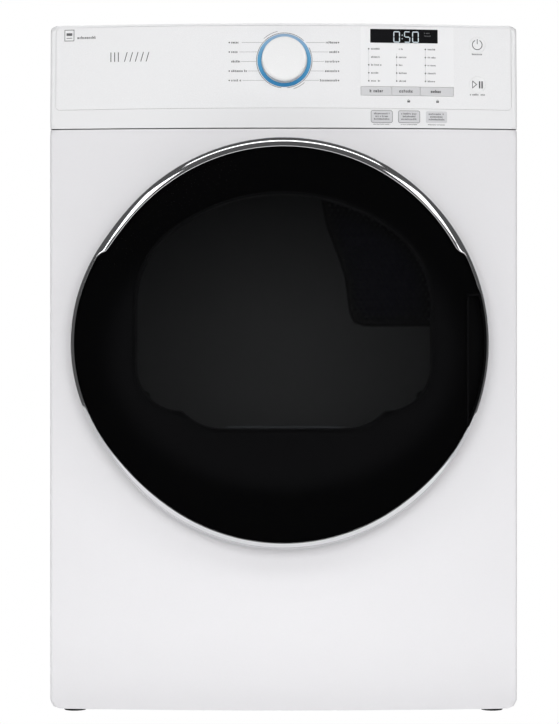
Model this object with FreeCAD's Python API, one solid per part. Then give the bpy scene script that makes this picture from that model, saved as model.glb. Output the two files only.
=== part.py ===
import FreeCAD, Part
import math
import os

# Full-size front-loading clothes dryer, in millimetres.
# X runs to the right of a person facing the front, Y runs to the back, Z is up.
# The origin is on the floor, under the middle of the machine's box.

# ---- driving dimensions -------------------------------------------------------------------
WIDTH = 686.0            # cabinet, outside of the side panels
HEIGHT = 1011.0          # floor to the top of the lid
FRONT_Y = -400.0         # crest of the door's trim ring
BACK_Y = 400.0           # end of the exhaust collar
PANEL_FRONT_Y = -345.0   # front panel at the middle of its bow
BOW = 22.0               # how far the front panel's sides fall back
CORNER_Y = -300.0        # where the front parts end and the side panels begin
REAR_PANEL_Y = 370.0     # outside of the rear panel
FLOOR_GAP = 6.0          # floor to the lower edge of the panels
SEAM_Z = 856.0           # joint between the front panel and the control fascia
LID_SKIRT = 21.0         # height of the lid's folded edge
SHEET = 1.0              # steel sheet
FASCIA_TILT = 4.0        # degrees, the control fascia leans back

DOOR_Z = 542.0           # centre height of the door
DOOR_R = 297.0           # round outline of the door
BULGE_X = -57.0          # centre of the arc that widens the door over its hinge
BULGE_R = 251.0
WINDOW_HALF = 221.0      # half width of the window
WINDOW_SPRING_Z = 597.0  # where the window's arched top begins
WINDOW_SIDE_R = 140.0    # side arcs of the arch
WINDOW_TOP_DROP = 108.0  # centre of the top arc, below the spring line
WINDOW_BOTTOM_Z = 411.0
WINDOW_FLAT = 90.0       # half length of the straight sill
WINDOW_LEDGE_X = 151.0   # shoulder in each lower corner
WINDOW_LEDGE_Z = 437.0
WINDOW_CORNER_R = 70.0
WINDOW_FOOT_R = 84.6     # arc from the sill up to the shoulder

HINGE_X = -293.0
HINGE_LIFT = 25.0        # hinge axis, in front of the panel
HINGE_HALF = 46.0        # half height of the hinge
HINGE_ARM = 15.0         # height of each of its arms
HINGE_SHEET = 2.6
PIN_R = 4.0
POCKET_HALF = 52.0       # half height of the pocket in the door for the hinge

DRUM_Z = 590.0           # axis of the drum
DRUM_R = 318.0
DRUM_WALL = 1.0
DRUM_FRONT_Y = -268.0
DRUM_BACK_Y = 226.0
SEAL_GAP = 0.4
LEDGE_R = 311.0          # ring flange on each bulkhead that carries the felt
BULKHEAD_FRONT_Y = -285.0
BULKHEAD_BACK_Y = 232.0
BULKHEAD_SHEET = 1.5

GRILLE_RIM = 285.0       # the hot-air grille's outer edge, from the drum's axis
GRILLE_FOOT_Z = 575.0

ROLLER_R = 38.0
ROLLER_WIDTH = 22.0
ROLLER_ANGLE = 38.0      # degrees from straight down
RUN_GAP = 0.3            # between parts that roll or wrap on each other
FIT = 0.05               # radial clearance of a turning shaft

MOTOR_X = -120.0
MOTOR_Z = 170.0
MOTOR_R = 60.0
SHAFT_R = 6.0
PULLEY_R = 11.0
BELT_Y = 19.0            # middle of the belt
BELT_WIDTH = 10.0
BELT_THICK = 2.2
IDLER_X = 60.0
IDLER_Z = 190.0
IDLER_R = 28.0
IDLER_PIVOT_X = 159.0
IDLER_PIVOT_Z = 238.0
IDLER_AXLE_R = 5.0
SPRING_X = 112.0
SPRING_Y = 44.0
SPRING_R = 6.0

FAN_R = 80.0
FAN_HOUSING_R = 95.0
FAN_INLET_R = 60.0
EXHAUST_R = 50.8         # four-inch collar
EXHAUST_Z = 100.0
CORD_HOLE_R = 11.1       # seven-eighths-inch cord hole
CORD_X = -260.0
CORD_Y = 385.0
COVER_BOTTOM_Z = 130.0

FILTER_HALF = 84.0
FILTER_Y0 = -322.0
FILTER_Y1 = -308.0
FILTER_BOTTOM_Z = 252.0

FOOT_X = 308.5
FOOT_FRONT_Y = -290.0
FOOT_BACK_Y = 335.0
FOOT_R = 17.0
STUD_R = 5.0
PAN_Z = 12.0             # underside of the base pan

KNOB_X = 1.0
KNOB_Z = 956.0
KNOB_R = 32.8
LIGHT_RING_R = 37.0
KEY_GAP = 0.35
ROUND_KEY_X = 284.5
ROUND_KEY_R = 12.0
POWER_Z = 982.0
START_Z = 923.0
STRIP_Z0 = 905.0         # strip of three option keys
STRIP_Z1 = 918.0
STRIP_X = (112.8, 158.4, 199.8, 249.4)
DISPLAY_X = (126.8, 226.1)
DISPLAY_Z = (982.8, 1003.3)
OVERLAY_Z0 = 886.0
OVERLAY_HALF = 334.5
OVERLAY_Z1 = 1007.5

HALF = WIDTH / 2
BOW_R = (HALF ** 2 + BOW ** 2) / (2 * BOW)   # radius of the front's bow in plan
BOW_Y = PANEL_FRONT_Y + BOW_R                # centre of that bow
DOOR_DEPTH = PANEL_FRONT_Y - FRONT_Y         # trim ring's crest, in front of the panel
LID_Z = HEIGHT - LID_SKIRT
X_AXIS = FreeCAD.Vector(1, 0, 0)
Y_AXIS = FreeCAD.Vector(0, 1, 0)
Z_AXIS = FreeCAD.Vector(0, 0, 1)


# ---- plain shapes --------------------------------------------------------------------------
def point(x, y, z):
    return FreeCAD.Vector(x, y, z)


def box(x0, x1, y0, y1, z0, z1):
    return Part.makeBox(x1 - x0, y1 - y0, z1 - z0, point(x0, y0, z0))


def rod_y(x, z, radius, y0, y1):
    return Part.makeCylinder(radius, y1 - y0, point(x, y0, z), Y_AXIS)


def rod_z(x, y, radius, z0, z1):
    return Part.makeCylinder(radius, z1 - z0, point(x, y, z0), Z_AXIS)


def tube_y(x, z, outer, inner, y0, y1):
    return rod_y(x, z, outer, y0, y1).cut(rod_y(x, z, inner, y0 - 1, y1 + 1))


def fuse(*shapes):
    joined = shapes[0].multiFuse(list(shapes[1:])) if len(shapes) > 1 else shapes[0]
    return joined.removeSplitter()


def cut(shape, *tools):
    for tool in tools:
        shape = shape.cut(tool)
    return shape


def mirrored_x(shape):
    return shape.mirror(point(0, 0, 0), X_AXIS)


def prism_y(points, y0, y1):
    """A straight-sided outline of (x, z) corners, between two depths."""
    wire = Part.makePolygon([point(x, y0, z) for x, z in points + points[:1]])
    return Part.Face(wire).extrude(point(0, y1 - y0, 0))


def prism_z(points, z0, z1):
    """A straight-sided outline of (x, y) corners, between two heights."""
    wire = Part.makePolygon([point(x, y, z0) for x, y in points + points[:1]])
    return Part.Face(wire).extrude(point(0, 0, z1 - z0))


# ---- the bowed front -----------------------------------------------------------------------
def bowed_y(x, lift):
    """Depth of the bowed surface that lies the given distance in front of the panel."""
    return BOW_Y - math.sqrt((BOW_R + lift) ** 2 - x ** 2)


def bowed(back, front, z0=0.0, z1=HEIGHT, half=HALF):
    """A bowed slab between two distances in front of the panel's face."""
    slab = rod_z(0, BOW_Y, BOW_R + front, z0, z1).cut(
        rod_z(0, BOW_Y, BOW_R + back, z0 - 1, z1 + 1))
    return slab.common(box(-half, half, FRONT_Y - 50, 0, z0, z1))


def door_disc(offset):
    """The door's outline, grown by the offset: a circle and a wider arc over the hinge."""
    y0, y1 = FRONT_Y - 20, CORNER_Y
    return rod_y(0, DOOR_Z, DOOR_R + offset, y0, y1).fuse(
        rod_y(BULGE_X, DOOR_Z, BULGE_R + offset, y0, y1))


def door_layer(offset, back, front):
    return door_disc(offset).common(bowed(back, front))


def window_wire(y):
    """The window: a three-arc arch, upright sides, shouldered corners and a flat sill."""
    arch_r = WINDOW_TOP_DROP + WINDOW_SIDE_R + 27.0
    side_x = WINDOW_HALF - WINDOW_SIDE_R
    top_z = WINDOW_SPRING_Z - WINDOW_TOP_DROP
    lean = math.atan2(WINDOW_TOP_DROP, side_x)
    mid = lean / 2
    meet = (side_x + WINDOW_SIDE_R * math.cos(lean), WINDOW_SPRING_Z + WINDOW_SIDE_R * math.sin(lean))
    side = (side_x + WINDOW_SIDE_R * math.cos(mid), WINDOW_SPRING_Z + WINDOW_SIDE_R * math.sin(mid))
    corner_x = WINDOW_HALF - WINDOW_CORNER_R
    corner_z = WINDOW_LEDGE_Z + WINDOW_CORNER_R
    diagonal = WINDOW_CORNER_R * math.sqrt(0.5)
    foot_turn = math.asin((WINDOW_LEDGE_X - WINDOW_FLAT) / WINDOW_FOOT_R) / 2
    foot = (WINDOW_FLAT + WINDOW_FOOT_R * math.sin(foot_turn),
            WINDOW_BOTTOM_Z + WINDOW_FOOT_R * (1 - math.cos(foot_turn)))

    def at(pair, sign):
        return point(sign * pair[0], y, pair[1])

    def arc(sign, *pairs):
        return Part.Arc(*[at(pair, sign) for pair in pairs]).toShape()

    ledge = (WINDOW_LEDGE_X, WINDOW_LEDGE_Z)
    edges = [Part.Arc(at(meet, 1), point(0, y, top_z + arch_r), at(meet, -1)).toShape(),
             Part.LineSegment(at((WINDOW_FLAT, WINDOW_BOTTOM_Z), 1),
                              at((WINDOW_FLAT, WINDOW_BOTTOM_Z), -1)).toShape()]
    for sign in (1, -1):
        edges.append(arc(sign, (WINDOW_HALF, WINDOW_SPRING_Z), side, meet))
        edges.append(Part.LineSegment(at((WINDOW_HALF, WINDOW_SPRING_Z), sign),
                                      at((WINDOW_HALF, corner_z), sign)).toShape())
        edges.append(arc(sign, (WINDOW_HALF, corner_z),
                         (corner_x + diagonal, corner_z - diagonal), ledge))
        edges.append(arc(sign, ledge, foot, (WINDOW_FLAT, WINDOW_BOTTOM_Z)))
    return Part.Wire(Part.__sortEdges__(edges))


def window_prism(offset, y0, y1):
    """The window's outline, grown by the offset, between two depths."""
    wire = window_wire(y0)
    if offset:
        wire = wire.makeOffset2D(offset)
    return Part.Face(wire).extrude(point(0, y1 - y0, 0))


def window_layer(offset, back, front):
    return window_prism(offset, FRONT_Y - 20, CORNER_Y).common(bowed(back, front))


def window_frame(outer, inner, back, front):
    return window_layer(outer, back, front).cut(window_prism(inner, FRONT_Y - 20, CORNER_Y))


def tilted(shape):
    """Leans a shape back with the control fascia, about the fascia's lower front edge."""
    leaned = shape.copy()
    leaned.rotate(point(0, PANEL_FRONT_Y, SEAM_Z), X_AXIS, -FASCIA_TILT)
    return leaned


# ---- cabinet -------------------------------------------------------------------------------
def make_front_panel():
    top = SEAM_Z - 0.5
    skin = bowed(-SHEET, 0, FLOOR_GAP, top)
    edge_y = bowed_y(HALF, 0)
    side = box(HALF - SHEET, HALF, edge_y, CORNER_Y, FLOOR_GAP, top)
    top_fold = bowed(-14, 0, top - SHEET, top)
    foot_fold = bowed(-18, 0, FLOOR_GAP, FLOOR_GAP + SHEET)
    panel = fuse(skin, side, mirrored_x(side), top_fold, foot_fold)
    strike_hole = box(STRIKE_X0 - 4, STRIKE_X1 + 4, FRONT_Y, CORNER_Y, STRIKE_Z0 - 4, STRIKE_Z1 + 4)
    return cut(panel, window_prism(5, FRONT_Y, CORNER_Y), strike_hole, *hinge_screw_holes())


def make_side_panel():
    """The right side: a sheet with folded front, rear and lower edges."""
    top = LID_Z - 0.5
    front, back = CORNER_Y + 0.5, REAR_PANEL_Y - SHEET - 0.5
    sheet = box(HALF - SHEET, HALF, front, REAR_PANEL_Y, FLOOR_GAP, top)
    front_fold = box(HALF - 20, HALF - SHEET, front, front + SHEET, FLOOR_GAP, top)
    back_fold = box(HALF - 16, HALF - SHEET, back - SHEET, back, FLOOR_GAP, top)
    holes = [screw_shank(*place, SCREW_HOLE_R) for place in REAR_SCREWS]
    return cut(fuse(sheet, front_fold, back_fold), *holes)


def make_rear_panel():
    sheet = box(-HALF + SHEET + 0.5, HALF - SHEET - 0.5, REAR_PANEL_Y - SHEET, REAR_PANEL_Y,
                FLOOR_GAP, LID_Z - 0.5)
    pipe_hole = rod_y(0, EXHAUST_Z, EXHAUST_R + 0.4, REAR_PANEL_Y - 5, REAR_PANEL_Y + 5)
    wiring_hole = box(CORD_X - 30, CORD_X + 30, REAR_PANEL_Y - 5, REAR_PANEL_Y + 5,
                      COVER_BOTTOM_Z + 20, COVER_BOTTOM_Z + 90)
    panel = cut(sheet, pipe_hole, wiring_hole)
    for column in range(-3, 4):
        for row in range(5):
            x = 40.0 * column
            z = 640.0 + 30.0 * row
            panel = panel.cut(box(x - 15, x + 15, REAR_PANEL_Y - 5, REAR_PANEL_Y + 5, z, z + 5))
    return cut(panel, *[screw_shank(*place, SCREW_HOLE_R) for place in REAR_SCREWS])


def make_top_panel():
    """The lid: a flat sheet with a skirt folded down at both sides and the back."""
    front, back = CORNER_Y + 0.5, REAR_PANEL_Y
    outer = box(-HALF, HALF, front, back, LID_Z, HEIGHT)
    return outer.cut(box(-HALF + SHEET, HALF - SHEET, front - 1, back - SHEET, LID_Z - 1, HEIGHT - SHEET))


def make_base_pan():
    """A shallow pan with four threaded foot bosses, the motor saddle and the idler's stand."""
    half = HALF - SHEET - 0.6
    front, back = CORNER_Y + 3, REAR_PANEL_Y - 4
    pan = box(-half, half, front, back, PAN_Z, PAN_Z + 32).cut(
        box(-half + 1.2, half - 1.2, front + 1.2, back - 1.2, PAN_Z + 1.2, PAN_Z + 40))
    saddle_y = (-150.0, -50.0)
    saddle = [box(MOTOR_X - 45, MOTOR_X + 45, y, y + 4, PAN_Z + 1, MOTOR_Z - 20).cut(
        rod_y(MOTOR_X, MOTOR_Z, MOTOR_R + 0.2, y - 1, y + 5)) for y in saddle_y]
    stand_y = BELT_Y + 16
    stand = fuse(box(IDLER_PIVOT_X - 16, IDLER_PIVOT_X + 16, stand_y, stand_y + 3, PAN_Z + 1,
                     IDLER_PIVOT_Z + 16),
                 rod_y(IDLER_PIVOT_X, IDLER_PIVOT_Z, IDLER_AXLE_R, BELT_Y + 5, stand_y + 1))
    spring_hook = box(SPRING_X - 8, SPRING_X + 8, SPRING_Y - 8, SPRING_Y + 8, PAN_Z + 1, PAN_Z + 14)
    bosses = [rod_z(x, y, 12, PAN_Z, PAN_Z + 22) for x, y in FEET.values()]
    bores = [rod_z(x, y, STUD_R + FIT, PAN_Z - 1, PAN_Z + 60) for x, y in FEET.values()]
    return cut(fuse(pan, *saddle, stand, spring_hook, *bosses), *bores)


def make_foot(x, y):
    """A levelling foot: a rubber pad on a threaded stud."""
    pad = Part.makeCone(FOOT_R, FOOT_R - 2, 9, point(x, y, 0), Z_AXIS)
    collar = rod_z(x, y, 9, 8.5, 11.5)
    return fuse(pad, collar, rod_z(x, y, STUD_R, 11, PAN_Z + 36))


def screw_shank(x, y, z, radius):
    return rod_y(x, z, radius, y - 8, y + 0.5)


def make_screws():
    """Pan-head screws that hold the rear panel, and the hinge bracket's four."""
    rear = [fuse(rod_y(x, z, 4.5, y, y + 2.4), rod_y(x, z, SCREW_R, y - 7.5, y + 0.2))
            for x, y, z in REAR_SCREWS]
    hinge = []
    for x, z in HINGE_SCREWS:
        seat = bowed_y(x, HINGE_SHEET) - 0.45
        hinge.append(fuse(rod_y(x, z, 4.5, seat - 2, seat), rod_y(x, z, SCREW_R, seat - 0.2, seat + 10)))
    return Part.makeCompound(rear + hinge)


# ---- door opening and bulkheads ------------------------------------------------------------
def make_door_collar():
    """The throat between the front panel and the drum, with the lint filter's slot."""
    back = BULKHEAD_FRONT_Y - 0.2
    room = window_prism(6.5, FRONT_Y, back).cut(bowed(-SHEET - 0.2, 200))
    room = room.common(box(-HALF, HALF, PANEL_FRONT_Y, back, 0, HEIGHT))
    wall = room.cut(window_prism(4, FRONT_Y, CORNER_Y + 40))
    flange = window_frame(18, 4, -SHEET - 2.2, -SHEET - 0.2)
    slot = box(-FILTER_HALF - 3, FILTER_HALF + 3, FILTER_Y0 - 3, FILTER_Y1 + 3,
               WINDOW_BOTTOM_Z - 15, WINDOW_BOTTOM_Z + 6)
    return cut(fuse(wall, flange), slot)


def make_front_bulkhead():
    y0 = BULKHEAD_FRONT_Y
    plate = box(-HALF + 6, HALF - 6, y0, y0 + BULKHEAD_SHEET, 268, 925)
    plate = plate.cut(window_prism(9, y0 - 5, y0 + 5))
    ledge = tube_y(0, DRUM_Z, LEDGE_R, LEDGE_R - 1.5, y0, DRUM_FRONT_Y + 24)
    return fuse(plate, ledge)


def make_rear_bulkhead():
    y0 = BULKHEAD_BACK_Y
    plate = box(-HALF + 6, HALF - 6, y0, y0 + BULKHEAD_SHEET, PAN_Z + 34, 930)
    pipe_notch = box(-EXHAUST_R - 4, EXHAUST_R + 4, y0 - 5, y0 + 5, PAN_Z, EXHAUST_Z + EXHAUST_R + 4)
    ledge = tube_y(0, DRUM_Z, LEDGE_R, LEDGE_R - 1.5, DRUM_BACK_Y - 24, y0 + 0.5)
    air_hole = grille_prism(-7, y0 - 5, y0 + 5)
    axle_holes = [rod_y(x, z, AXLE_R, y0 - 5, y0 + 5) for x, z in ROLLERS.values()]
    return cut(fuse(plate, ledge), pipe_notch, air_hole, *axle_holes)


def grille_prism(offset, y0, y1):
    """Outline of the hot-air grille: a wavy inner side, a flat foot and the drum's own curve."""
    top = (78.0, DRUM_Z + math.sqrt(GRILLE_RIM ** 2 - 78.0 ** 2))
    waist = (84.0, 716.0)
    heel = (112.0, 600.0)
    toe = (137.0, GRILLE_FOOT_Z)
    foot = (math.sqrt(GRILLE_RIM ** 2 - (DRUM_Z - GRILLE_FOOT_Z) ** 2), GRILLE_FOOT_Z)
    diagonal = math.radians(38)
    middle = (GRILLE_RIM * math.cos(diagonal), DRUM_Z + GRILLE_RIM * math.sin(diagonal))
    arcs = [(foot, middle, top), (top, (65.0, 785.0), waist), (waist, (104.0, 660.0), heel),
            (heel, (119.0, 582.0), toe)]
    edges = [Part.Arc(*[point(x, y0, z) for x, z in arc]).toShape() for arc in arcs]
    edges.append(Part.LineSegment(point(toe[0], y0, toe[1]), point(foot[0], y0, foot[1])).toShape())
    wire = Part.Wire(Part.__sortEdges__(edges))
    if offset:
        wire = wire.makeOffset2D(offset)
    return Part.Face(wire).extrude(point(0, y1 - y0, 0))


def make_air_grille():
    """The cover over the hot-air inlet, drawn with plain slots."""
    plate = grille_prism(0, BULKHEAD_BACK_Y - 3.2, BULKHEAD_BACK_Y - 0.2)
    slots = []
    for z in range(592, 840, 20):
        left = 124 if z < 700 else 98
        right = math.sqrt((GRILLE_RIM - 18) ** 2 - (z + 4 - DRUM_Z) ** 2)
        slots.append(box(left, right, BULKHEAD_BACK_Y - 6, BULKHEAD_BACK_Y + 3, z, z + 4))
    return cut(plate, *slots)


def make_drum_seal(y0):
    return tube_y(0, DRUM_Z, DRUM_R - DRUM_WALL - SEAL_GAP, LEDGE_R + 0.1, y0, y0 + 15)


# ---- drum and its drive --------------------------------------------------------------------
def make_drum_shell():
    """An open cylinder with a raised bead near each end and a belt track between two beads."""
    shell = tube_y(0, DRUM_Z, DRUM_R, DRUM_R - DRUM_WALL, DRUM_FRONT_Y, DRUM_BACK_Y)
    inner = DRUM_R - 0.2
    beads = [tube_y(0, DRUM_Z, DRUM_R + 3, inner, y, y + 5)
             for y in (DRUM_FRONT_Y + 40, BELT_Y - 16, BELT_Y + 11, DRUM_BACK_Y - 48)]
    return fuse(shell, *beads)


def lifter_profile(shrink):
    """A lifter's rounded ridge, standing on the drum's wall."""
    foot, crest, tip = DRUM_R + 10, DRUM_R - 62 + shrink, 13 - shrink / 2
    return [(-34 + shrink, -foot), (34 - shrink, -foot), (34 - shrink, 14 - DRUM_R),
            (tip, -crest), (-tip, -crest), (-34 + shrink, 14 - DRUM_R)]


def make_drum_lifters():
    """Three hollow lifters that carry the laundry up the drum's wall."""
    wall_side = rod_y(0, 0, DRUM_R - DRUM_WALL - 0.05, -300, 300)
    lifters = []
    for number in range(3):
        body = prism_y(lifter_profile(0), -225, 185).cut(prism_y(lifter_profile(3), -222, 182))
        body = body.common(wall_side)
        body.rotate(point(0, 0, 0), Y_AXIS, 60 + 120 * number)
        body.translate(point(0, 0, DRUM_Z))
        lifters.append(body)
    return Part.makeCompound(lifters)


def make_roller(x, z):
    rim = tube_y(x, z, ROLLER_R, AXLE_R + FIT, ROLLER_Y, ROLLER_Y + ROLLER_WIDTH)
    groove = tube_y(x, z, ROLLER_R - 8, AXLE_R + 9, ROLLER_Y - 1, ROLLER_Y + 5)
    return rim.cut(groove)


def make_roller_axles():
    """The steel axles, each with a retaining head in front of its roller."""
    axles = []
    for x, z in ROLLERS.values():
        shaft = rod_y(x, z, AXLE_R, ROLLER_Y - 3, BULKHEAD_BACK_Y + BULKHEAD_SHEET)
        head = rod_y(x, z, AXLE_R + 3, ROLLER_Y - 4.5, ROLLER_Y - 0.8)
        shoulder = rod_y(x, z, AXLE_R + 4, ROLLER_Y + ROLLER_WIDTH + 1, BULKHEAD_BACK_Y - 0.2)
        axles.append(fuse(shaft, head, shoulder))
    return Part.makeCompound(axles)


def belt_outline(extra, y0, y1):
    """The loop round drum, idler and motor pulley, grown by the extra, as a solid."""
    circles = [(0, DRUM_Z, DRUM_R), (MOTOR_X, MOTOR_Z, PULLEY_R), (IDLER_X, IDLER_Z, IDLER_R)]
    solid = rod_y(0, DRUM_Z, DRUM_R + RUN_GAP + extra, y0, y1)
    for first, second in ((0, 1), (1, 2), (2, 0)):
        xa, za, ra = circles[first]
        xb, zb, rb = circles[second]
        ra, rb = ra + RUN_GAP + extra, rb + RUN_GAP + extra
        along = math.atan2(zb - za, xb - xa)
        swing = math.acos((ra - rb) / math.hypot(xb - xa, zb - za))
        normal = along - swing
        reach = (math.cos(normal), math.sin(normal))
        corners = [(xa, za), (xb, zb), (xb + rb * reach[0], zb + rb * reach[1]),
                   (xa + ra * reach[0], za + ra * reach[1])]
        solid = solid.fuse(prism_y(corners, y0, y1)).fuse(rod_y(xb, zb, rb, y0, y1))
    core = prism_y([(x, z) for x, z, radius in circles], y0, y1)
    return solid.fuse(core).removeSplitter()


def make_drum_belt():
    y0, y1 = BELT_Y - BELT_WIDTH / 2, BELT_Y + BELT_WIDTH / 2
    return belt_outline(BELT_THICK, y0, y1).cut(belt_outline(0, y0 - 1, y1 + 1))


def make_motor_housing():
    """The motor's can with a bearing hub in each end."""
    front, back = -178.0, -12.0
    can = rod_y(MOTOR_X, MOTOR_Z, MOTOR_R, front, back).cut(
        rod_y(MOTOR_X, MOTOR_Z, MOTOR_R - 3, front + 4, back - 4))
    hubs = [rod_y(MOTOR_X, MOTOR_Z, 18, front - 8, front + 2),
            rod_y(MOTOR_X, MOTOR_Z, 18, back - 2, back + 8)]
    bore = rod_y(MOTOR_X, MOTOR_Z, SHAFT_R + FIT, front - 20, back + 20)
    return fuse(can, *hubs).cut(bore)


def make_motor_shaft():
    """The shaft with its rotor and the flanged belt pulley."""
    shaft = rod_y(MOTOR_X, MOTOR_Z, SHAFT_R, -240, BELT_Y + 15)
    rotor = rod_y(MOTOR_X, MOTOR_Z, 36, -150, -40)
    pulley = rod_y(MOTOR_X, MOTOR_Z, PULLEY_R, BELT_Y - 8, BELT_Y + 8)
    flanges = [rod_y(MOTOR_X, MOTOR_Z, PULLEY_R + 4, y, y + 3) for y in (BELT_Y - 10, BELT_Y + 7)]
    return fuse(shaft, rotor, pulley, *flanges)


def make_blower_wheel():
    front, back = -280.0, -222.0
    disc = rod_y(MOTOR_X, MOTOR_Z, FAN_R, back - 3, back)
    hub = rod_y(MOTOR_X, MOTOR_Z, 14, back - 24, back + 2)
    ring = tube_y(MOTOR_X, MOTOR_Z, FAN_R, FAN_R - 20, front, front + 3)
    blades = []
    for number in range(24):
        blade = box(MOTOR_X - 1, MOTOR_X + 1, front + 1, back - 1, MOTOR_Z + FAN_R - 22, MOTOR_Z + FAN_R - 1)
        blade.rotate(point(MOTOR_X, 0, MOTOR_Z), Y_AXIS, 15.0 * number)
        blades.append(blade)
    return fuse(disc, hub, ring, *blades).cut(rod_y(MOTOR_X, MOTOR_Z, SHAFT_R, front - 5, back + 5))


def make_blower_housing():
    """The fan's round case with its square outlet to the exhaust pipe."""
    front, back = -289.0, -208.0
    wall = 2.0
    right = EXHAUST_R + 6
    bottom, top = EXHAUST_Z - EXHAUST_R - 4, EXHAUST_Z + EXHAUST_R + 4
    outer = fuse(rod_y(MOTOR_X, MOTOR_Z, FAN_HOUSING_R, front, back),
                 box(MOTOR_X, right, front, back, bottom, top))
    inner = fuse(rod_y(MOTOR_X, MOTOR_Z, FAN_HOUSING_R - wall, front + wall, back - wall),
                 box(MOTOR_X + wall, right - wall, front + wall, back - wall, bottom + wall, top - wall))
    return cut(outer, inner, rod_y(MOTOR_X, MOTOR_Z, FAN_INLET_R, front - 5, front + 5),
               rod_y(MOTOR_X, MOTOR_Z, 20, back - 5, back + 5),
               rod_y(0, EXHAUST_Z, EXHAUST_R, back - 5, back + 5))


def make_exhaust_pipe():
    """The pipe from the fan to the outside, with a bead that a hose is pushed up to."""
    bead = tube_y(0, EXHAUST_Z, EXHAUST_R + 2.2, EXHAUST_R - 0.4, REAR_PANEL_Y + 0.3, REAR_PANEL_Y + 3.3)
    return fuse(tube_y(0, EXHAUST_Z, EXHAUST_R, EXHAUST_R - 0.8, -210, BACK_Y), bead)


def make_idler_arm():
    """The arm on its stand's stud, with the idler pulley's axle."""
    y0 = BELT_Y + 10
    dx, dz = IDLER_PIVOT_X - IDLER_X, IDLER_PIVOT_Z - IDLER_Z
    length = math.hypot(dx, dz)
    side = (-dz / length * 12, dx / length * 12)
    corners = [(IDLER_X + side[0], IDLER_Z + side[1]), (IDLER_X - side[0], IDLER_Z - side[1]),
               (IDLER_PIVOT_X - side[0], IDLER_PIVOT_Z - side[1]),
               (IDLER_PIVOT_X + side[0], IDLER_PIVOT_Z + side[1])]
    ends = [rod_y(IDLER_X, IDLER_Z, 12, y0, y0 + 4), rod_y(IDLER_PIVOT_X, IDLER_PIVOT_Z, 12, y0, y0 + 4)]
    axle = fuse(rod_y(IDLER_X, IDLER_Z, IDLER_AXLE_R, BELT_Y - 12, y0 + 1),
                rod_y(IDLER_X, IDLER_Z, IDLER_AXLE_R + 3, BELT_Y - 13, BELT_Y - 9))
    hook = rod_y(SPRING_X, SPRING_TOP_Z + 4, 3, y0 + 2, SPRING_Y + 6)
    arm = fuse(prism_y(corners, y0, y0 + 4), *ends, axle, hook)
    return arm.cut(rod_y(IDLER_PIVOT_X, IDLER_PIVOT_Z, IDLER_AXLE_R + FIT, y0 - 5, y0 + 8))


def make_idler_pulley():
    return tube_y(IDLER_X, IDLER_Z, IDLER_R, IDLER_AXLE_R + FIT, BELT_Y - 8, BELT_Y + 8)


def make_idler_spring():
    """The tension spring, drawn as a stack of close rings on its core wire."""
    rings = [Part.makeTorus(SPRING_R - 1, 1.0, point(SPRING_X, SPRING_Y, z), Z_AXIS)
             for z in range(int(PAN_Z) + 22, int(SPRING_TOP_Z) - 6, 6)]
    core = rod_z(SPRING_X, SPRING_Y, 4.4, PAN_Z + 14.2, SPRING_TOP_Z)
    return fuse(core, *rings)


# ---- air path ------------------------------------------------------------------------------
def make_lint_duct():
    """The flat duct from the lint filter down to the fan's inlet."""
    wall = 2.0
    front, back = -332.0, -290.5
    neck = FILTER_HALF + 6
    left, right = MOTOR_X - 92, FILTER_HALF + 6
    low_z, mid_z, top_z = 76.0, 266.0, WINDOW_BOTTOM_Z - 9
    outer = fuse(box(left, right, front, back, low_z, mid_z), box(-neck, neck, front, back, mid_z - 1, top_z))
    inner = fuse(box(left + wall, right - wall, front + wall, back - wall, low_z + wall, mid_z - wall),
                 box(-neck + wall, neck - wall, front + wall, back - wall, mid_z - 5, top_z + 5))
    return cut(outer, inner, rod_y(MOTOR_X, MOTOR_Z, FAN_INLET_R, back - 5, back + 5))


def make_lint_filter_frame():
    """The filter's frame with a handle bar along its top."""
    top = WINDOW_BOTTOM_Z + 3
    frame = box(-FILTER_HALF, FILTER_HALF, FILTER_Y0, FILTER_Y1, FILTER_BOTTOM_Z, top)
    for x0, x1 in ((-FILTER_HALF + 8, -4), (4, FILTER_HALF - 8)):
        frame = frame.cut(box(x0, x1, FILTER_Y0 - 1, FILTER_Y1 + 1, FILTER_BOTTOM_Z + 8, top - 24))
    grip = box(-FILTER_HALF, FILTER_HALF, FILTER_Y0 - 1, FILTER_Y1 + 1, top - 1, top + 7)
    finger = box(-30, 30, FILTER_Y0 - 5, FILTER_Y0 + 3, top - 10, top - 1)
    return cut(fuse(frame, grip), finger)


def make_lint_filter_screen():
    top = WINDOW_BOTTOM_Z + 3
    middle = (FILTER_Y0 + FILTER_Y1) / 2
    panes = [box(x0, x1, middle - 0.4, middle + 0.4, FILTER_BOTTOM_Z + 8.1, top - 24.1)
             for x0, x1 in ((-FILTER_HALF + 8.1, -4.1), (4.1, FILTER_HALF - 8.1))]
    return Part.makeCompound(panes)


def make_rear_air_duct():
    """The pressed duct behind the rear bulkhead that feeds hot air to the grille."""
    y0 = BULKHEAD_BACK_Y + BULKHEAD_SHEET + 0.2
    depth = 70.0
    profile = [(HEATER_X0, HEATER_Z1 + 1), (HEATER_X1, HEATER_Z1 + 1), (HEATER_X1 + 6, 600), (295, 740),
               (200, 872), (70, 884), (50, 740), (95, 560)]
    centre = (180.0, 620.0)
    shrink = 0.975
    hollow = [(centre[0] + (x - centre[0]) * shrink, centre[1] + (z - centre[1]) * shrink) for x, z in profile]
    shell = prism_y(profile, y0, y0 + depth).cut(prism_y(hollow, y0 - 1, y0 + depth - 1.5))
    throat = box(HEATER_X0 + 5, HEATER_X1 - 5, y0 + 4, y0 + depth - 4, HEATER_Z1 - 2, HEATER_Z1 + 12)
    return shell.cut(throat)


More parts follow.
